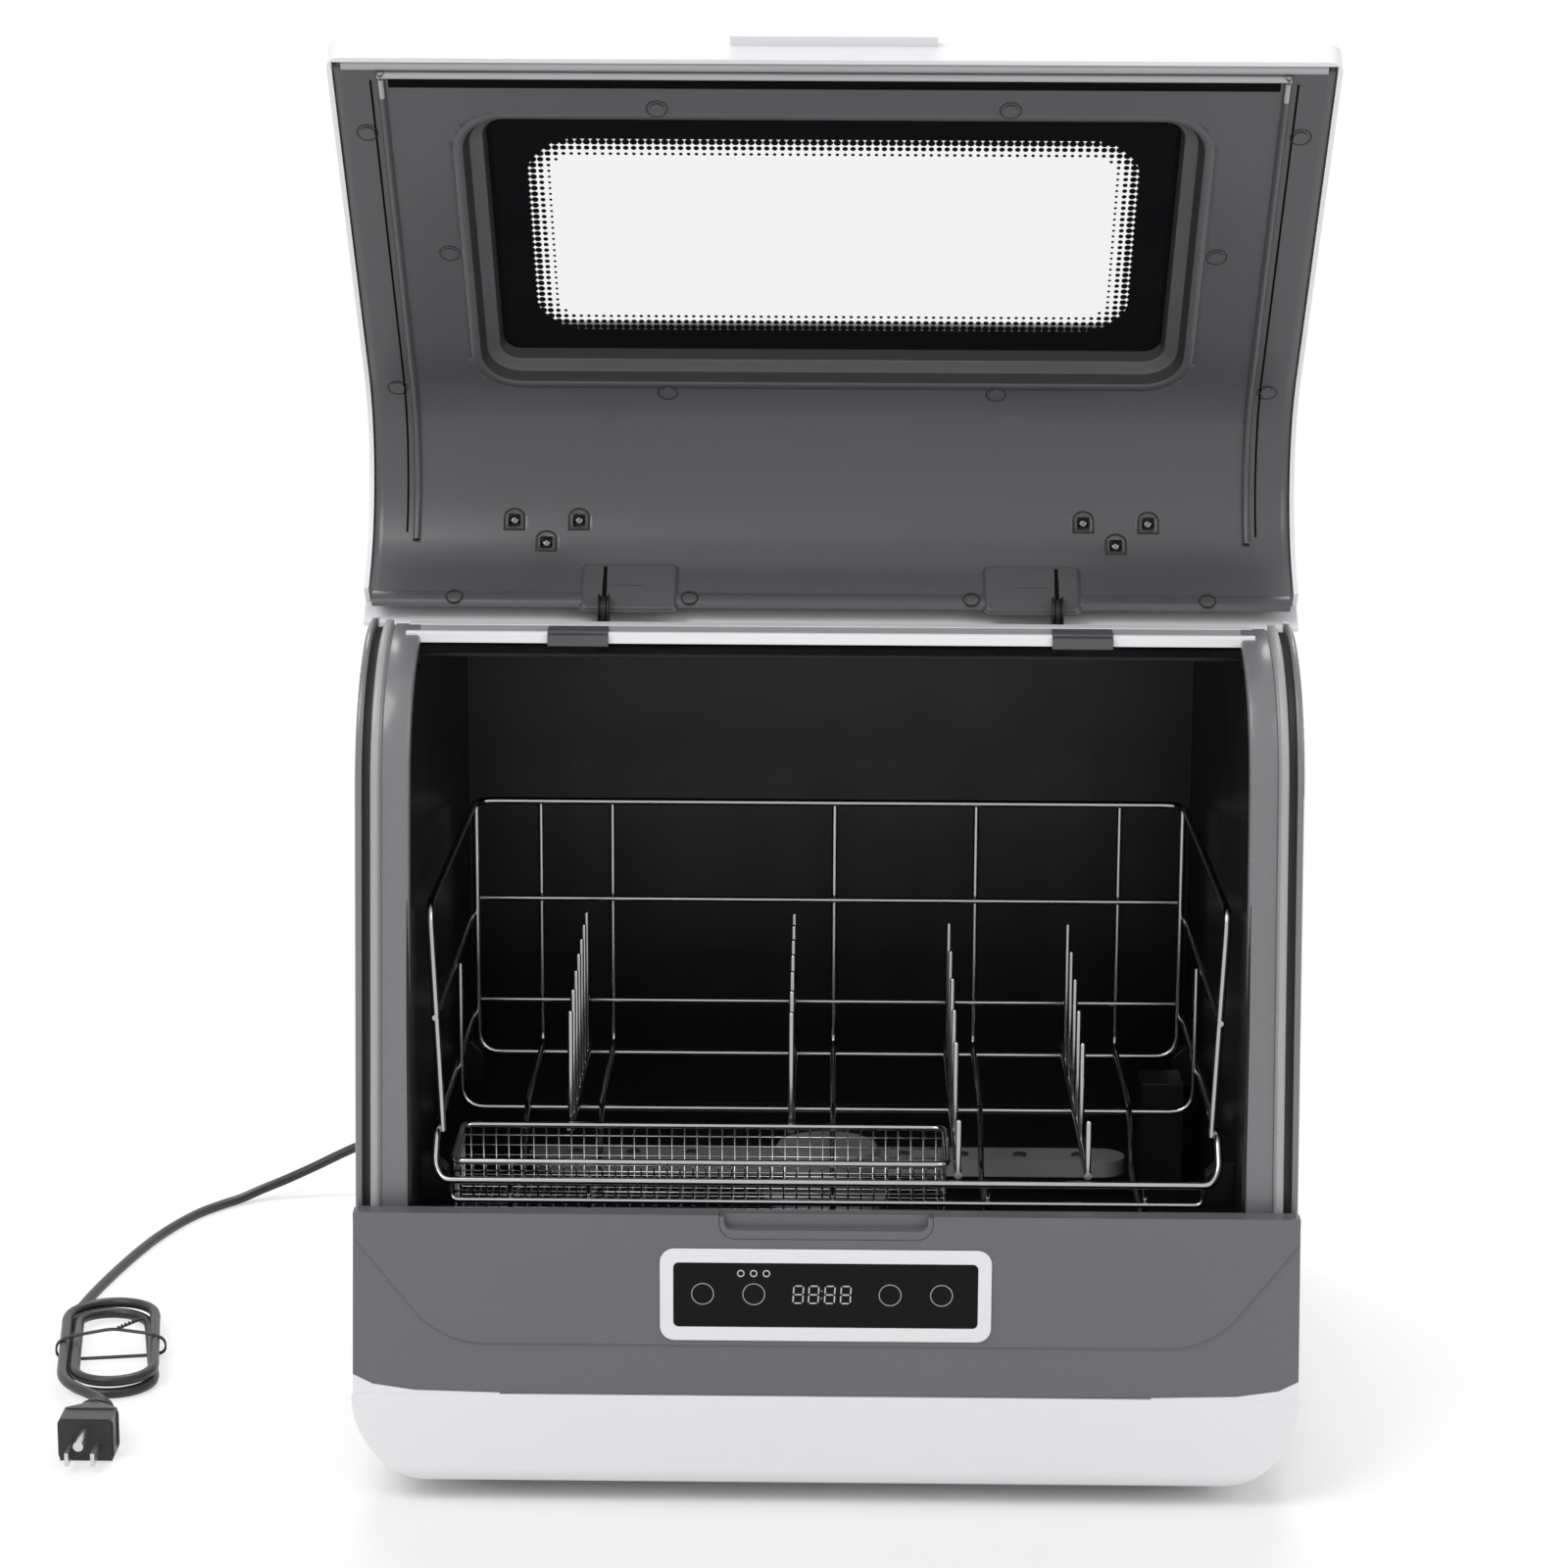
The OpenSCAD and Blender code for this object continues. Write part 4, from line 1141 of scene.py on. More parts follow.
    def repeated(self, name: str, finish: str, rings: Sequence[Place], spots: Sequence[Place],
                 outline: Callable[[float], Outline], stands_for: Sequence[str] = (),
                 filled: bool = False) -> None:
        """Repeats a ringed shape at mirrored spots of the lining.

        Args:
            name: the piece's name.
            finish: its finish.
            rings: size and depth of each ring.
            spots: its places, across and along.
            outline: gives a ring's points round its spot.
            stands_for: CAD nodes that it replaces.
            filled: whether a face closes the last ring.
        """
        shell = Shell()
        for px, ps in spots:
            for side, _ in SIDES:
                shell.band(*([self.sheet.point(side * px + dx, ps + ds, depth) for dx, ds in outline(size)]
                             for size, depth in rings))
                if filled:
                    shell.cap(len(outline(rings[-1][0])))
        link(shell.made(name), finish, self.palette, "lid", stands_for)

    def outside_window(self) -> None:
        """Builds the thin bead round the window on the outer face of the lid."""
        middle, wide, high, corner = 111.5, 301.0, 132.0, 8.0
        bead = ((-2.4, 0.02), (-1.6, -0.28), (0.0, -0.3), (0.9, 0.0), (1.1, 1.6), (1.1, 2.6))
        self.ring("outer_bead", "seal",
                  lambda inset: rounded_box(0.0, middle, wide - 2 * inset, high - 2 * inset, corner),
                  bead, ("lid_glass_seal",))


# ---- rack and basket --------------------------------------------------------


@dataclass
class RackWires:
    """Bent wire of the dish rack, its tines and the cutlery basket, in mm.

    Args:
        palette: the finishes.
        half: half the rack's width, to the middle of its end hoops.
        front: place of the front rail.
        post: place of the front posts.
        middle: place of the middle hoop.
        back: place of the back hoop.
        floor: height of the wires that carry the dishes.
        low: height of the wires under the basket.
        foot: height at which the front posts end.
        flare: how far the posts lean outward.
        top: height of the rim at the front.
        thick: diameter of the rim's wire.
        thin: diameter of the cross wires and tines.
    """

    palette: Palette
    half: float = 187.0
    front: float = -170.0
    post: float = -150.0
    middle: float = -50.0
    back: float = 51.0
    floor: float = 153.0
    low: float = 131.0
    foot: float = 171.6
    flare: float = 5.0
    top: float = 284.0
    thick: float = 3.8
    thin: float = 3.0

    # Tines from back to front: place behind the body's front plane, and height of the tip.
    PLATE_TINES = ((240, 235), (218, 234), (196, 232), (174, 230), (152, 227), (130, 223), (108, 218))
    BOWL_TINES = ((230, 233), (196, 227), (160, 222), (126, 215), (92, 208), (37, 185))
    FLOOR_WIRES = (-153, -115, 3, 78, 154)
    NOZZLES = (-130, -100, -70, 40, 70, 100, 130)

    def build(self) -> None:
        """Builds the rack's pieces."""
        self.frame()
        self.floor_wires()
        self.tine_rows()
        self.basket()
        self.nozzles()

    def add(self, name: str, paths: Sequence[Wire], body: str, stands_for: str) -> None:
        """Links one wire piece.

        Args:
            name: the piece's name.
            paths: its wires.
            body: the body that it rides on.
            stands_for: the CAD node that it replaces.
        """
        link(wires(name, paths), "wire", self.palette, body, (stands_for,))

    @staticmethod
    def both_ways(points: Sequence[Point]) -> list[Point]:
        """Args:
            points: the left half of a line, from its end to the middle.

        Returns:
            The line with its mirror image.
        """
        return [*points, *((-x, y, z) for x, y, z in reversed(points))]

    def frame(self) -> None:
        """Builds the rim, the hoops, the side rails and the front rail."""
        h, side, top_back = self.half, self.half + 2.6, self.top + 7.0
        rail, low_rail, cross = 229.0, 174.0, (182, 238)
        rim = [(-h, self.post, self.foot), (-h - self.flare, self.post, self.top), (-h, self.back, top_back)]
        paths = [Wire(rounded(self.both_ways(rim), 11.0), self.thick)]
        hoops = ((self.back - 0.5, top_back - 1.0, self.thick), (self.middle, rail, self.thin))
        for y, z, diameter in hoops:
            hoop = self.both_ways([(-h, y, z), (-h, y, self.floor)])
            paths.append(Wire(rounded(hoop, 12.0), diameter))
        front_rail = [(-side, self.back, low_rail), (-side, self.post - 3, low_rail),
                      (-side, self.front + 5, self.floor + 6), (4 - side, self.front, self.floor)]
        paths.append(Wire(rounded(self.both_ways(front_rail), 7.0), 3.9))
        for s in (-side, side):
            paths.append(Wire([(s, self.post - 2, rail), (s, self.back + 2, rail)], self.thin))
        for z in cross:
            paths.append(Wire([(-h, self.back, z), (h, self.back, z)], self.thin))
        self.add("rack_wires", paths, "rack", "rack_frame")

    def floor_wires(self) -> None:
        """Builds the wires that run along the rack floor and up its back."""
        step, lip, lip_top, lip_low = 3.6, self.half - 5, 152, 143
        back, front, level = self.back + step, self.front + step, self.floor + step
        paths = []
        for x in self.FLOOR_WIRES:
            line = [(x, back, self.top + 7), (x, back, level), (x, self.middle - 4, level),
                    (x, self.middle - 34, self.low), (x, front, self.low), (x, front, self.floor + 1)]
            paths.append(Wire(rounded(line, 7.0), self.thin))
        line = self.both_ways([(-lip, self.front, lip_top), (-lip, self.front, lip_low)])
        paths.append(Wire(rounded(line, 5.0), self.thin))
        self.add("rack_base", paths, "rack", "rack_floor")

    def tine_rows(self) -> None:
        """Builds the four rows of tines, each on its foot wire."""
        foot, plates_start = self.floor + 4.3, -101
        rows = ((-128, plates_start, self.PLATE_TINES), (-18, plates_start, self.PLATE_TINES),
                (63.5, self.front, self.BOWL_TINES), (126, self.front, self.BOWL_TINES))
        for number, (x, start, tines) in enumerate(rows, 1):
            paths = [Wire([(x, start, foot), (x, self.back + 2, foot)], 3.9)]
            for behind, tip in tines:
                y = FRONT_PLANE + behind
                paths.append(Wire([(x, y, foot), (x, y, tip)], self.thin, tip=True))
            self.add(f"tines_{number}", paths, "rack", f"tine_row_{number}")

    def basket(self) -> None:
        """Builds the cutlery basket: fine wire mesh under a thick rim."""
        x0, x1, y0, y1, z0, z1 = -180.6, 57.6, -162.6, -105.4, 133.4, 160.6
        mesh, pitch, inset = 1.0, 6.4, 3.2
        rim = [(x0 - 1, y0 - 1, z1), (x1 + 1, y0 - 1, z1), (x1 + 1, y1 + 1, z1), (x0 - 1, y1 + 1, z1)]
        paths = [Wire(rounded(rim, 7.0, closed=True), 3.2, closed=True)]
        for x in stations(x0 + inset, x1 - inset, pitch):
            paths.append(Wire([(x, y0, z1), (x, y0, z0), (x, y1, z0), (x, y1, z1)], mesh))
        for y in stations(y0 + inset, y1 - inset, pitch):
            low = z0 + 0.3
            paths.append(Wire([(x0, y, z1), (x0, y, low), (x1, y, low), (x1, y, z1)], mesh))
        for z in stations(z0 + 1.4, z1 - 5.2, 6.6):
            paths.append(Wire([(x0, y0, z), (x1, y0, z), (x1, y1, z), (x0, y1, z)], mesh, closed=True))
        self.add("basket_mesh", paths, "basket", "cutlery_basket")

    def nozzles(self) -> None:
        """Builds the raised nozzles along the spray arm."""
        arm = -30.0
        rings = ((3.6, 122.9), (3.4, 123.8), (2.0, 124.1), (1.5, 122.6), (0.2, 122.6))
        shell = Shell()
        for place in self.NOZZLES:
            shell.band(*([Vector((x, y, z)) * MM for x, y in circle(r, 16, (place, arm))] for r, z in rings))
        link(shell.made("arm_nozzles"), "seal", self.palette, "spray_arm")


# ---- opening trim -----------------------------------------------------------


@dataclass
class OpeningTrim:
    """Posts beside the tub mouth, the bar and hinges above it and the base's corners, in mm.

    Args:
        palette: the finishes.
        sheet: places on the lid.
        low: where the posts start, along the closed lid from its free edge.
        high: where the posts end.
        bar: half the cross bar's length.
        hinge_x: place of each hinge across.
    """

    palette: Palette
    sheet: LidSheet = field(default_factory=LidSheet)
    low: float = -24.0
    high: float = 331.0
    bar: float = 202.0
    hinge_x: float = 110.0

    # Sections of the posts: distance in from the side, and depth below the closed lid's surface.
    GROOVE = ((3.1, 13.0), (3.2, 16.6), (6.8, 16.6))
    STRIP = (*GROOVE[2:], (7.0, 13.4), (7.5, 12.9), (10.2, 12.9), (10.7, 13.4), (10.9, 15.6), (11.7, 15.6))
    BAND = (*STRIP[6:], (11.9, 15.1), (12.6, 14.9), (23.6, 14.9), (24.6, 15.3), (25.0, 16.0), (25.2, 19.0))
    EDGE = ((-0.05, 14.0), (-0.05, 12.7), (0.5, 12.25), (2.6, 12.25), (3.1, 12.6), (3.1, 14.0))
    # Sections of the cross bar and the two keepers on it: y and z.
    LIP = ((-141, 411.4), (-141, 416.4), (-139.6, 417.0), (-137, 416.6), (-137, 411.4))
    GASKET = ((-137, 412), (-137, 415.9), (-124, 417.1), (-123, 415))
    BAR_BACK = ((-124, 412), (-124, 417.3), (-114, 417.3), (-112, 413))
    KEEPER_TOP = ((-141.6, 416.0), (-141.6, 417.3), (-139, 418.0), (-132, 418.4), (-132, 416.0))
    KEEPER_FACE = ((-143.4, 410.4), (-143.4, 415.4), (-142, 416.0), (-140, 416.0), (-140, 410.4))
    # Front of each base corner: distance from the middle, and height.
    CORNER = ((226.6, 54.0), (226.4, 66.4), (217.0, 61.6), (197.0, 58.6), (156.0, 57.6), (156.0, 54.0))

    def build(self) -> None:
        """Builds the trim."""
        self.sweep("post_band", self.BAND, "frame_band", ("opening_frame",))
        self.sweep("post_strip", self.STRIP, "light_grey")
        self.sweep("post_groove", self.GROOVE, "seal")
        # The pale side edge takes the band's grey finish as painted shade.
        self.sweep("post_edge", self.EDGE, "frame_band")
        self.fan_cover()
        self.cross_bar()
        self.hinges()
        self.base_corners()

    def sweep(self, name: str, profile: Outline, finish: str, stands_for: Sequence[str] = ()) -> None:
        """Runs a profile up both posts.

        Args:
            name: the piece's name.
            profile: distance in from the side and depth below the closed lid's surface.
            finish: its finish.
            stands_for: CAD nodes that it replaces.
        """
        shell = Shell()
        wide = len(profile)
        along = stations(self.low, self.high, 6.0)
        for side, _ in SIDES:
            start = len(shell.verts)
            for s in along:
                for inset, depth in profile:
                    y, z = self.sheet.closed(s, depth)
                    half = BASE_HALF - (BASE_HALF - TOP_HALF) * z / self.sheet.top
                    shell.verts.append(Vector((side * (half - inset), y, z)) * MM)
            for j in range(len(along) - 1):
                for i in range(wide - 1):
                    a = start + j * wide + i
                    face = (a, a + 1, a + wide + 1, a + wide)
                    shell.faces.append(face if side < 0 else face[::-1])
        link(shell.made(name), finish, self.palette, "cabinet", stands_for)

    def fan_cover(self) -> None:
        """Builds the flush cover of the drying air outlet in the tub's rear wall."""
        outlet, back, face = circle(31.5, 48, (-130.0, 340.0)), 130.4, 129.7
        shell = Shell()
        shell.band(*([Vector((x, y, z)) * MM for x, z in outlet] for y in (back, face)))
        shell.cap(len(outlet))
        link(shell.made("fan_cover", smooth=False), "tub_black", self.palette, "cabinet")

    def prism(self, name: str, profile: Outline, spans: Sequence[Place], finish: str,
              stands_for: Sequence[str] = (), lid: bool = False) -> None:
        """Runs a profile in y and z across one or more spans.

        Args:
            name: the piece's name.
            profile: its closed outline, as y and z.
            spans: first and last x of each run.
            finish: its finish.
            stands_for: CAD nodes that it replaces.
            lid: whether the outline is given with the lid closed, and the piece moves with the lid.
        """
        shell = Shell()
        count = len(profile)
        for span in spans:
            shell.band(*([self.sheet.opened(x, y, z) if lid else Vector((x, y, z)) * MM for y, z in profile]
                         for x in span))
            shell.cap(count, back=count, turned=True)
            shell.cap(count)
        obj = shell.made(name, smooth=False)
        edge = obj.modifiers.new("edge", "BEVEL")
        edge.width = 0.0004
        edge.segments = 2
        link(obj, finish, self.palette, "lid" if lid else "cabinet", stands_for)

    def cross_bar(self) -> None:
        """Builds the bar over the tub mouth: white lip, grey gasket and the two keeper plates on it."""
        bar = ((-self.bar, self.bar),)
        keepers = [mirrored(side, 105.5, 134.5) for side, _ in SIDES]
        self.prism("bar_lip", self.LIP, bar, "white_plastic", ("cross_bar",))
        self.prism("bar_gasket", self.GASKET, bar, "light_grey")
        self.prism("bar_back", self.BAR_BACK, bar, "white_plastic")
        self.prism("keeper_top", self.KEEPER_TOP, keepers, "liner_grey", ("hinge_springs",))
        self.prism("keeper_face", self.KEEPER_FACE, keepers, "liner_grey")

    def hinges(self) -> None:
        """Builds the slim knuckles of the two hinges."""
        axis = self.sheet.hinge
        outer, inner = circle(8.4, 24, axis), circle(7.4, 24, axis)
        cheek, spread, core = 0.5, 2.2, 1.5
        foot_front, foot_back, foot, foot_top = axis[0] - 8, axis[0] - 2, 402.0, 416.5
        middles = [side * self.hinge_x for side, _ in SIDES]
        cheeks = [(x + d - cheek, x + d + cheek) for x in middles for d in (-spread, spread)]
        cores = [(x - core, x + core) for x in middles]
        feet = ((foot_front, foot), (foot_front, foot_top), (foot_back, foot_top), (foot_back, foot))
        self.prism("hinge_cheeks", outer, cheeks, "black_plastic", ("hinge_brackets", "hinge_pins"))
        self.prism("hinge_feet", feet, cheeks, "black_plastic")
        self.prism("hinge_cores", inner, cores, "black_plastic", ("hinge_arms",), lid=True)

    def base_corners(self) -> None:
        """Builds the white corners of the base that rise behind the swept ends of the front panel."""
        face, back = -204.6, -201.6
        count = len(self.CORNER)
        for side, label in SIDES:
            shell = Shell()
            shell.band(*([Vector((side * x, y, z)) * MM for x, z in self.CORNER] for y in (face, back)))
            shell.cap(count, back=count, turned=side < 0)
            link(shell.made(f"base_corner_{label}", smooth=False), "white_plastic", self.palette, "cabinet")


# ---- control panel ----------------------------------------------------------


@dataclass
class ControlPanel:
    """Printed marks of the control window: touch rings, lamps and the clock's digits, in mm.

    Args:
        palette: the finishes.
        face: y of the window's outer face.
        level: height of the touch rings and the clock.
        half_w: half the width of a digit.
        half_h: half the height of a digit.
        line: width of the thin lines.
        lean: how far the digits lean for each millimetre of height.
    """

    palette: Palette
    face: float = -205.8
    level: float = 109.0
    half_w: float = 2.3
    half_h: float = 4.3
    line: float = 0.42
    lean: float = 0.05

    # The seven bars of a digit: place in half widths and half heights, and whether it lies flat.
    BARS = ((0, 1, True), (-1, 0.5, False), (1, 0.5, False), (0, 0, True), (-1, -0.5, False),
            (1, -0.5, False), (0, -1, True))
    TOUCH = (-58.6, -34.2, 30.7, 55.2)
    LAMPS = (-40.4, -34.3, -28.2)
    DIGITS = (-13.0, -5.7, 2.0, 9.6)

    def build(self) -> None:
        """Builds the marks."""
        self.rings("touch_rings", self.TOUCH, self.level, 5.2, self.line, "mark_grey")
        self.rings("lamp_rings", self.LAMPS, self.level + 10.4, 1.5, 0.55, "mark_white")
        self.digits()

    def rings(self, name: str, places: Sequence[float], level: float, radius: float, width: float,
              finish: str) -> None:
        """Builds a row of thin rings.

        Args:
            name: the piece's name.
            places: x of the middles.
            level: height of the middles.
            radius: mean radius.
            width: width of the line.
            finish: their finish.
        """
        shell = Shell()
        for place in places:
            shell.band(*([self.spot(x, z) for x, z in circle(r, 48, (place, level))]
                         for r in (radius - width / 2, radius + width / 2)))
        self.mark(shell.made(name, smooth=False), finish)

    def spot(self, x: float, z: float) -> Vector:
        """Args:
            x: place across.
            z: height.

        Returns:
            The point just in front of the window, in metres.
        """
        return Vector((x, self.face - 0.06, z)) * MM

    def digits(self) -> None:
        """Builds four seven-segment digits with a colon between them."""
        shell = Shell()
        thick = self.line * 1.5
        for middle in self.DIGITS:
            for sx, sz, flat in self.BARS:
                if flat:
                    self.add_bar(shell, middle, sz * self.half_h, 2 * self.half_w - 1.0, thick)
                else:
                    self.add_bar(shell, middle + sx * self.half_w, sz * self.half_h, thick, self.half_h - 0.7)
        for height in (-1.9, 1.9):
            self.add_bar(shell, -1.9, height, 0.8, 0.8)
        self.mark(shell.made("clock_digits", smooth=False), "mark_white")

    def add_bar(self, shell: Shell, cx: float, cz: float, w: float, h: float) -> None:
        """Adds one leaning bar with pointed ends.

        Args:
            shell: the piece that receives it.
            cx: its middle across.
            cz: its middle's height above the clock's level.
            w: its width.
            h: its height.
        """
        half_w, half_h = w / 2, h / 2
        cut = min(half_w, half_h)
        if w > h:
            shape = ((-half_w, 0), (cut - half_w, -half_h), (half_w - cut, -half_h), (half_w, 0),
                     (half_w - cut, half_h), (cut - half_w, half_h))
        else:
            shape = ((0, -half_h), (half_w, cut - half_h), (half_w, half_h - cut), (0, half_h),
                     (-half_w, half_h - cut), (-half_w, cut - half_h))
        shell.verts += [self.spot(cx + dx + self.lean * (cz + dz), self.level + cz + dz) for dx, dz in shape]
        shell.cap(len(shape))

    def mark(self, obj: bpy.types.Object, finish: str) -> None:
        """Links flat marks with a hair of thickness.

        Args:
            obj: the flat marks.
            finish: their finish.
        """
        body = obj.modifiers.new("thickness", "SOLIDIFY")
        body.thickness = 0.00008
        body.offset = 0.0
        link(obj, finish, self.palette, "cabinet")


# ---- power cord -------------------------------------------------------------


@dataclass
class PowerCord:
    """Mains lead with its tapered strain relief, loose hank, wire tie and plug, in mm.

    Args:
        palette: the finishes.
        nodes: CAD objects by name; not used.
        diameter: the lead's diameter.
        middle: middle of the hank, x and y.
        turn: how far the hank is turned, in degrees.
        radius: mean radius of the hank's ends.
        run: half the length of its straight runs.
        plug: x and height of the plug's axis.
    """

    palette: Palette
    nodes: dict[str, bpy.types.Object]
    diameter: float = 5.6
    middle: Place = (-378.0, -10.0)
    turn: float = 10.0
    radius: float = 21.0
    run: float = 38.0
    plug: Place = (-366.0, 11.0)

    # The lead from the housing to the hank, and from the hank to the plug.
    ROUTE = (
        (-150, 205, 75), (-150, 222, 75), (-150, 238, 74.6), (-157, 254, 72), (-171, 266, 67),
        (-190, 274, 60), (-214, 280, 51), (-240, 282, 42), (-264, 280, 33), (-286, 274, 25),
        (-305, 268, 17), (-322, 262, 10.5), (-336, 255, 6.3), (-347, 246, 3.6), (-357, 236, 2.9),
        (-368, 220, 2.9), (-378, 198, 2.9), (-386, 174, 2.9), (-392, 150, 2.9), (-397, 126, 2.9),
        (-401, 104, 2.9), (-404.5, 82, 2.9), (-407, 62, 2.9), (-408.6, 44, 2.9),
    )
    LEAVE = (
        (-394.6, -62, 9.2), (-389.5, -73, 9.7), (-381, -84, 10.4), (-372, -94, 10.8),
        (-366.8, -102, 11.0), (-366, -108, 11.0),
    )

    def build(self) -> None:
        points = self.line()
        data = bpy.data.curves.new("mains_cord", "CURVE")
        data.dimensions = "3D"
        data.bevel_depth = self.diameter / 2 * MM
        data.bevel_resolution = 5
        data.use_fill_caps = True
        spline = data.splines.new("POLY")
        spline.points.add(len(points) - 1)
        for slot, p in zip(spline.points, points):
            slot.co = (*(p * MM), 1.0)
        spline.use_smooth = True
        cord = bpy.data.objects.new("mains_cord", data)
        link(cord, "rubber", self.palette, "cabinet", ("power_cord", "cord_bundle"))
        extras = (self.tie(), self.plug_pins(), self.plug_trim())

    def laid(self, x: float, y: float, z: float) -> Vector:
        """Args:
            x: place across the hank.
            y: place along the hank.
            z: height.

        Returns:
            The point in the row frame, with the hank turned and in its place.
        """
        c, s = math.cos(math.radians(self.turn)), math.sin(math.radians(self.turn))
        return Vector((self.middle[0] + x * c - y * s, self.middle[1] + x * s + y * c, z))

    def hank(self, share: float, side: float, rise: float) -> Vector:
        """Gives a point on the oval of the hank.

        Args:
            share: turns from the start of the left run.
            side: how far outside the oval's line.
            rise: height.

        Returns:
            The point in the row frame.
        """
        straight, arc = 2 * self.run, math.pi * self.radius
        half = straight + arc
        way = (share % 1.0) * 2 * half
        flip = -1.0 if way < half else 1.0
        way %= half
        past = max(way - straight, 0.0) / self.radius
        out_x, out_y = flip * math.cos(past), flip * math.sin(past)
        reach = self.radius + side
        start = flip * (min(way, straight) - self.run)
        return self.laid(out_x * reach, start + out_y * reach, rise)

    def line(self) -> list[Vector]:
        """Returns:
            The cord's smooth line from the housing to the plug.
        """
        pitch, low = 6.1, 2.9
        left_run = self.run / (2 * self.run + math.pi * self.radius)
        turns = [Vector(p) for p in self.ROUTE]
        steps = 34
        climb_start, climb_length, leave_side = 0.70, 0.52, 1.8
        for k in range(1, int(steps * (2 + left_run)) + 1):
            share = k / steps
            climb = min(1.0, max(0.0, (share - climb_start) / climb_length))
            climb = climb * climb * (3 - 2 * climb)
            if share <= 1.0:
                side = pitch * (0.5 - share)
            elif share <= 2.0:
                side = pitch * (share - 1.5)
            else:
                side = pitch * 0.5 + leave_side * (share - 2.0) / left_run
            turns.append(self.hank(share, side, low + (pitch - 0.1) * climb))
        turns += [Vector(p) for p in self.LEAVE]
        return smooth_line(turns, 4)

    def plug_pins(self) -> bpy.types.Object:
        """Builds the bright skins of the plug's two blades and its earth pin.

        Returns:
            The pins.
        """
        middle, root, tip, pin_tip = self.plug[0], -154.3, -171.4, -173.4
        half, low, high, spread = 0.95, 4.35, 11.05, 6.4
        blades = [((x - half, low), (x + half, low), (x + half, high), (x - half, high))
                  for x in (middle - spread, middle + spread)]
        pin = circle(2.55, 16, (middle, 15.5))
        shell = Shell()
        for outline, end in ((blades[0], tip), (blades[1], tip), (pin, pin_tip)):
            shell.band(*([Vector((x, y, z)) * MM for x, z in outline] for y in (root, end)))
            shell.cap(len(outline))
        return link(shell.made("plug_pins", smooth=False), "steel", self.palette, "cabinet")

    def plug_trim(self) -> bpy.types.Object:
        """Builds the boot's rings and the raised rims of the plug's body.

        Returns:
            The trim.
        """
        middle = self.plug[0]
        first, pitch, radius, growth = -112.0, 4.2, 6.2, 1.25
        half, low, high, rims = 13.2, 0.9, 21.6, (-138.0, -152.9)
        paths = []
        for k in range(4):
            ring = circle(radius + growth * k, 24, self.plug)
            paths.append(Wire([(x, first - pitch * k, z) for x, z in ring], 1.6, closed=True))
        for y in rims:
            body = [(middle - half, y, low), (middle + half, y, low), (middle + half, y, high),
                    (middle - half, y, high)]
            paths.append(Wire(rounded(body, 3.0, closed=True), 1.5, closed=True))
        return link(wires("plug_trim", paths), "rubber", self.palette, "cabinet")

    def tie(self) -> bpy.types.Object:
        """Builds the twisted wire tie round the hank.

        Returns:
            The tie.
        """
        out, wire, top = self.radius + 8.6, 1.1, 15.5
        coil, turn, steps, run, across, lift = 0.7, 0.9, 25, 0.55, 0.3, 0.1
        ring = [(-out, -1, 3), (-out, -1, 10), (6 - out, -1, 13.4), (0, 2, top), (out - 9, -1, 12.6),
                (out - 2, -1, 9), (out - 2, -1, 2.4), (out - 8, -1, 0.7), (0, -1, 0.7), (6 - out, -1, 0.7)]
        paths = []
        for shift in (-1.0, 1.0):
            line = [self.laid(x, y + shift, z) for x, y, z in ring]
            paths.append(Wire(rounded(line, 4.0, closed=True), wire, closed=True))
        for phase in (0.0, math.pi):
            twist = []
            for k in range(steps):
                a = phase + k * turn
                x, y = 2 + k * run + coil * math.cos(a), 2.0 + k * across
                twist.append(self.laid(x, y, top + coil * math.sin(a) + k * lift))
            paths.append(Wire(twist, wire))
        return link(wires("cord_tie", paths), "rubber", self.palette, "cabinet")


def smooth_line(points: Sequence[Vector], parts: int) -> list[Vector]:
    """Runs a smooth line through points.

    Args:
        points: the points.
        parts: pieces between two of them.

    Returns:
        The line's points.
    """
    made: list[Vector] = []
    for i in range(len(points) - 1):
        p0, p1, p2 = points[max(i - 1, 0)], points[i], points[i + 1]
        p3 = points[min(i + 2, len(points) - 1)]
        for k in range(parts):
            t = k / parts
            made.append(0.5 * (2 * p1 + (p2 - p0) * t + (2 * p0 - 5 * p1 + 4 * p2 - p3) * t ** 2
                               + (3 * p1 - p0 - 3 * p2 + p3) * t ** 3))
    made.append(points[-1])
    return made


# ---- CAD dressing -----------------------------------------------------------


@dataclass
class Dresser:
    """Gives the CAD pieces their finish and softened edges.

    Args:
        nodes: CAD objects by name.
        slots: the record's material slot of each node.
        palette: the finishes.
        edge: width of the rounding on sharp edges, in metres.
        sharp: angle between faces from which an edge is rounded, in degrees.
    """

    nodes: dict[str, bpy.types.Object]
    slots: dict[str, str]
    palette: Palette
    edge: float = 0.0005
    sharp: float = 32.0

    def dress(self) -> None:
        """Puts the finish and modifiers on every CAD piece."""
        for node, obj in self.nodes.items():
            name = self.slots[node]
            obj.data.materials.clear()
            obj.data.materials.append(self.palette[name])
            self.soften(obj)
        log.info("dressed %d CAD pieces", len(self.nodes))

    def soften(self, obj: bpy.types.Object) -> None:
        """Rounds the sharp edges of a CAD piece with modifiers.

        Args:
            obj: the CAD object.
        """
        custom = obj.data.attributes.get("custom_normal")
        if custom is not None:
            obj.data.attributes.remove(custom)
        for poly in obj.data.polygons:
            poly.use_smooth = True
        weld = obj.modifiers.new("weld", "WELD")
        weld.merge_threshold = 1e-6
        bevel = obj.modifiers.new("edge", "BEVEL")
        bevel.width = self.edge
        bevel.segments = 2
        bevel.limit_method = "ANGLE"
        bevel.angle_limit = math.radians(self.sharp)
        bevel.use_clamp_overlap = True
        bevel.harden_normals = True
        bevel.miter_outer = "MITER_ARC"


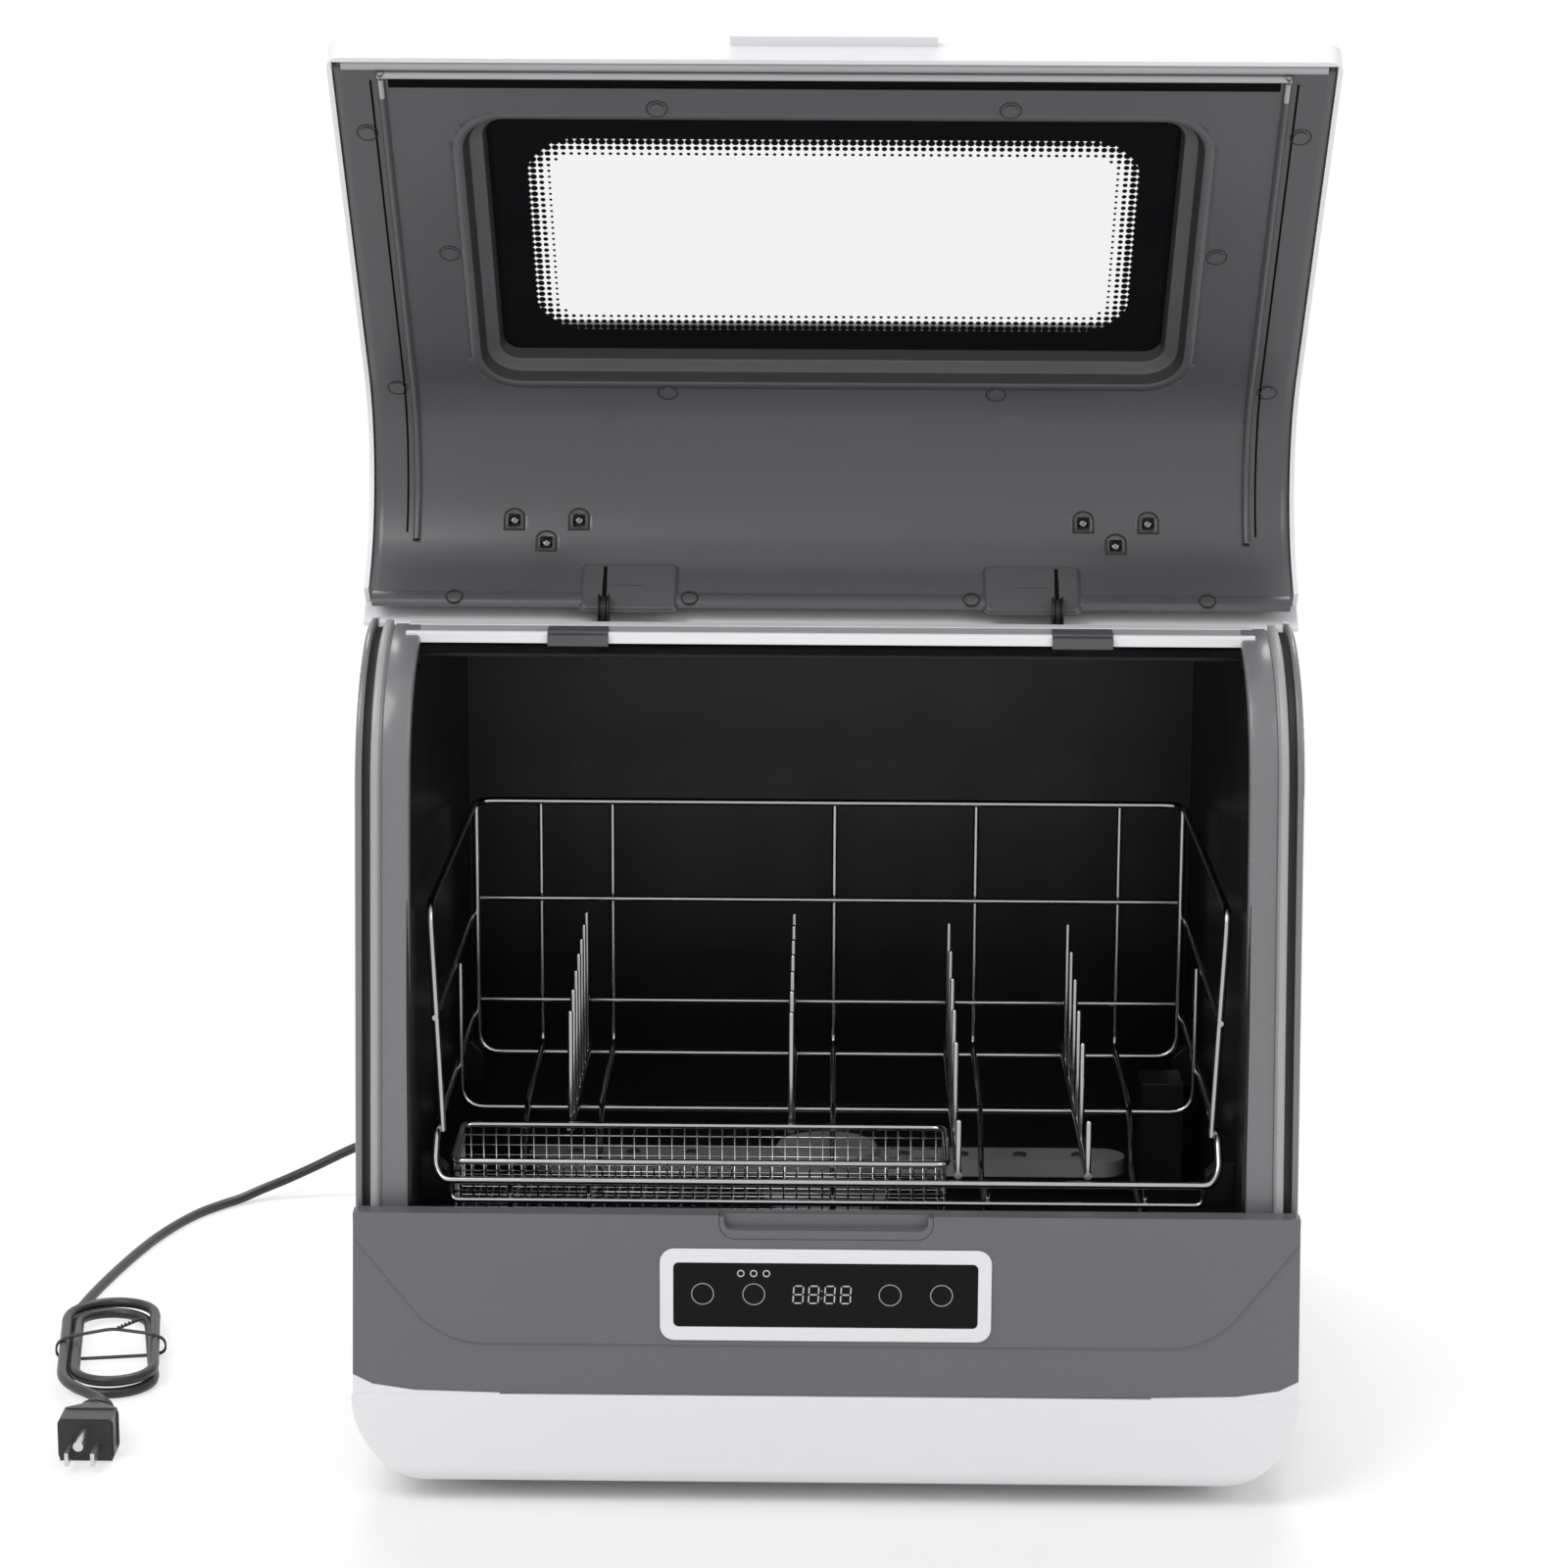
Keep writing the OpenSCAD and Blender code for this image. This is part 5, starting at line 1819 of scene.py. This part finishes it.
# ---- studio -----------------------------------------------------------------


@dataclass(frozen=True)
class Viewpoint:
    """The camera's place and lens.

    Args:
        place: where it stands, in metres.
        yaw: how far it is turned to the right, in radians.
        pitch: how far it looks down, in radians.
        roll: how far it leans, in radians.
        lens: focal length, in mm.
        sensor: width of its sensor, in mm.
    """

    place: tuple[float, float, float] = (0.00104, -2.01435, 0.76022)
    yaw: float = -0.0121
    pitch: float = 0.2188
    roll: float = 0.0043
    lens: float = 91.93
    sensor: float = 36.0

    def build(self) -> bpy.types.Object:
        """Makes the camera.

        Returns:
            The camera object.
        """
        ahead = Vector((math.sin(self.yaw) * math.cos(self.pitch),
                        math.cos(self.yaw) * math.cos(self.pitch), -math.sin(self.pitch)))
        right = Vector((math.cos(self.yaw), -math.sin(self.yaw), 0.0))
        up = right.cross(ahead)
        c, s = math.cos(self.roll), math.sin(self.roll)
        axis_x, axis_y = c * right + s * up, -s * right + c * up
        data = bpy.data.cameras.new("camera")
        data.lens = self.lens
        data.sensor_width = self.sensor
        data.clip_start, data.clip_end = 0.05, 30.0
        cam = bpy.data.objects.new("camera", data)
        cam.matrix_world = Matrix.Translation(self.place) @ Matrix(
            (axis_x, axis_y, -ahead)).transposed().to_4x4()
        bpy.context.scene.collection.objects.link(cam)
        bpy.context.scene.camera = cam
        return cam


@dataclass(frozen=True)
class Softbox:
    """One area light.

    Args:
        name: the light's name.
        place: its centre.
        target: the point that it faces.
        size: width and height.
        power: in watts.
    """

    name: str
    place: tuple[float, float, float]
    target: tuple[float, float, float]
    size: tuple[float, float]
    power: float

    def build(self) -> bpy.types.Object:
        """Makes the light.

        Returns:
            The light object.
        """
        data = bpy.data.lights.new(self.name, "AREA")
        data.shape = "RECTANGLE"
        data.size, data.size_y = self.size
        data.energy = self.power
        lamp = bpy.data.objects.new(self.name, data)
        lamp.location = self.place
        lamp.rotation_mode = "QUATERNION"
        lamp.rotation_quaternion = (Vector(self.target) - Vector(self.place)).to_track_quat("-Z", "Y")
        bpy.context.scene.collection.objects.link(lamp)
        return lamp


@dataclass(frozen=True)
class Studio:
    """White studio: floor, surroundings, softboxes and camera.

    Args:
        floor_half: half the floor's side, in metres.
        footprint: half the width and depth of the ground that keeps its shadow, in metres.
        fade: distance over which the shadow fades to plain white beyond it, in metres.
        paint: the ground's colour.
        dullness: the ground's roughness.
        shine: level of the ground's reflection.
        daylight: strength of the surroundings as a light.
    """

    floor_half: float = 12.0
    footprint: tuple[float, float] = (0.225, 0.205)
    fade: float = 0.22
    paint: Colour = (0.93, 0.93, 0.93)
    dullness: float = 0.6
    shine: float = 0.1
    daylight: float = 0.62

    BOXES = (
        Softbox("key", (-1.3, -1.5, 2.4), (0.0, 0.0, 0.2), (1.4, 1.4), 32.0),
        Softbox("fill", (1.7, -1.6, 1.6), (0.0, 0.0, 0.2), (1.4, 1.4), 12.0),
        Softbox("top", (0.0, 1.1, 2.3), (0.0, 0.0, 0.2), (1.6, 0.8), 30.0),
    )

    def build(self) -> None:
        """Builds the studio."""
        self.floor()
        self.world()
        for box in self.BOXES:
            box.build()
        Viewpoint().build()
        view = bpy.context.scene.view_settings
        view.view_transform = "Standard"
        log.info("studio ready")

    @staticmethod
    def seen(b: NodeBuilder) -> Socket:
        """Args:
            b: the builder of a material or world.

        Returns:
            1 for rays from the camera, direct, mirrored or through glass.
        """
        path = b.add("ShaderNodeLightPath")
        direct = b.math("MAXIMUM", path.outputs["Is Camera Ray"], path.outputs["Is Glossy Ray"])
        return b.math("MAXIMUM", direct, path.outputs["Is Transmission Ray"])

    def floor(self) -> None:
        """Adds the pale floor, which holds the shadow near the object and is plain white beyond."""
        mesh = bpy.data.meshes.new("floor")
        r = self.floor_half
        mesh.from_pydata([(-r, -r, 0), (r, -r, 0), (r, r, 0), (-r, r, 0)], [], [(0, 1, 2, 3)])
        floor = bpy.data.objects.new("floor", mesh)
        mat = bpy.data.materials.new("floor")
        mat.use_nodes = True
        b = NodeBuilder(mat.node_tree)
        shader = mat.node_tree.nodes["Principled BSDF"]
        shader.inputs["Base Color"].default_value = (*self.paint, 1.0)
        shader.inputs["Roughness"].default_value = self.dullness
        shader.inputs["Specular IOR Level"].default_value = self.shine
        white = b.add("ShaderNodeEmission")
        split = b.add("ShaderNodeSeparateXYZ")
        b.link(b.add("ShaderNodeTexCoord").outputs["Object"], split.inputs[0])
        past = [b.math("SUBTRACT", b.math("ABSOLUTE", split.outputs[k]), half)
                for k, half in enumerate(self.footprint)]
        away = b.ramp(b.math("MAXIMUM", *past), 0.0, self.fade)
        mix = b.add("ShaderNodeMixShader")
        b.link(b.math("MULTIPLY", away, self.seen(b)), mix.inputs[0])
        b.link(shader.outputs[0], mix.inputs[1])
        b.link(white.outputs[0], mix.inputs[2])
        b.link(mix.outputs[0], mat.node_tree.nodes["Material Output"].inputs["Surface"])
        mesh.materials.append(mat)
        bpy.context.scene.collection.objects.link(floor)
        floor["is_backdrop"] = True

    def world(self) -> None:
        """Sets the surroundings: white to the eye and softer as a light."""
        world = bpy.data.worlds.new("surroundings")
        bpy.context.scene.world = world
        world.use_nodes = True
        b = NodeBuilder(world.node_tree)
        shader = world.node_tree.nodes["Background"]
        shader.inputs["Color"].default_value = (1.0, 1.0, 1.0, 1.0)
        b.link(b.ramp(self.seen(b), 0.0, 1.0, self.daylight, 1.0), shader.inputs["Strength"])


# ---- assembly ---------------------------------------------------------------


class Dishwasher:
    """The whole machine."""

    def __init__(self, frame: dict) -> None:
        """Args:
        """
        self.nodes: dict[str, bpy.types.Object] = frame["nodes"]
        self.slots = {part["node"]: part["material_slot"] for part in frame["record"]["subparts"]}
        self.palette = Palette()

    def build(self) -> None:
        """Dresses the CAD pieces and adds the finer ones."""
        Dresser(self.nodes, self.slots, self.palette).dress()
        LidLining(self.palette).build()
        RackWires(self.palette).build()
        OpeningTrim(self.palette).build()
        ControlPanel(self.palette).build()
        PowerCord(self.palette, self.nodes).build()


def note_size(made: dict[str, list], key: str) -> None:
    """Adds the shown size to a table.

    Args:
        made: the table.
        key: the row's name.
    """
    low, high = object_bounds()
    made[key] = [list(low), list(high)]


def main() -> None:
    """Builds the scene."""
    logging.basicConfig(level=logging.INFO, format="%(name)s: %(message)s")
    for obj in list(bpy.data.objects):
        bpy.data.objects.remove(obj)
    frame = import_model()
    sizes: dict[str, list] = {}
    note_size(sizes, "cad")
    Dishwasher(frame).build()
    Studio().build()
    note_size(sizes, "scene")


if __name__ == "__main__":
    main()
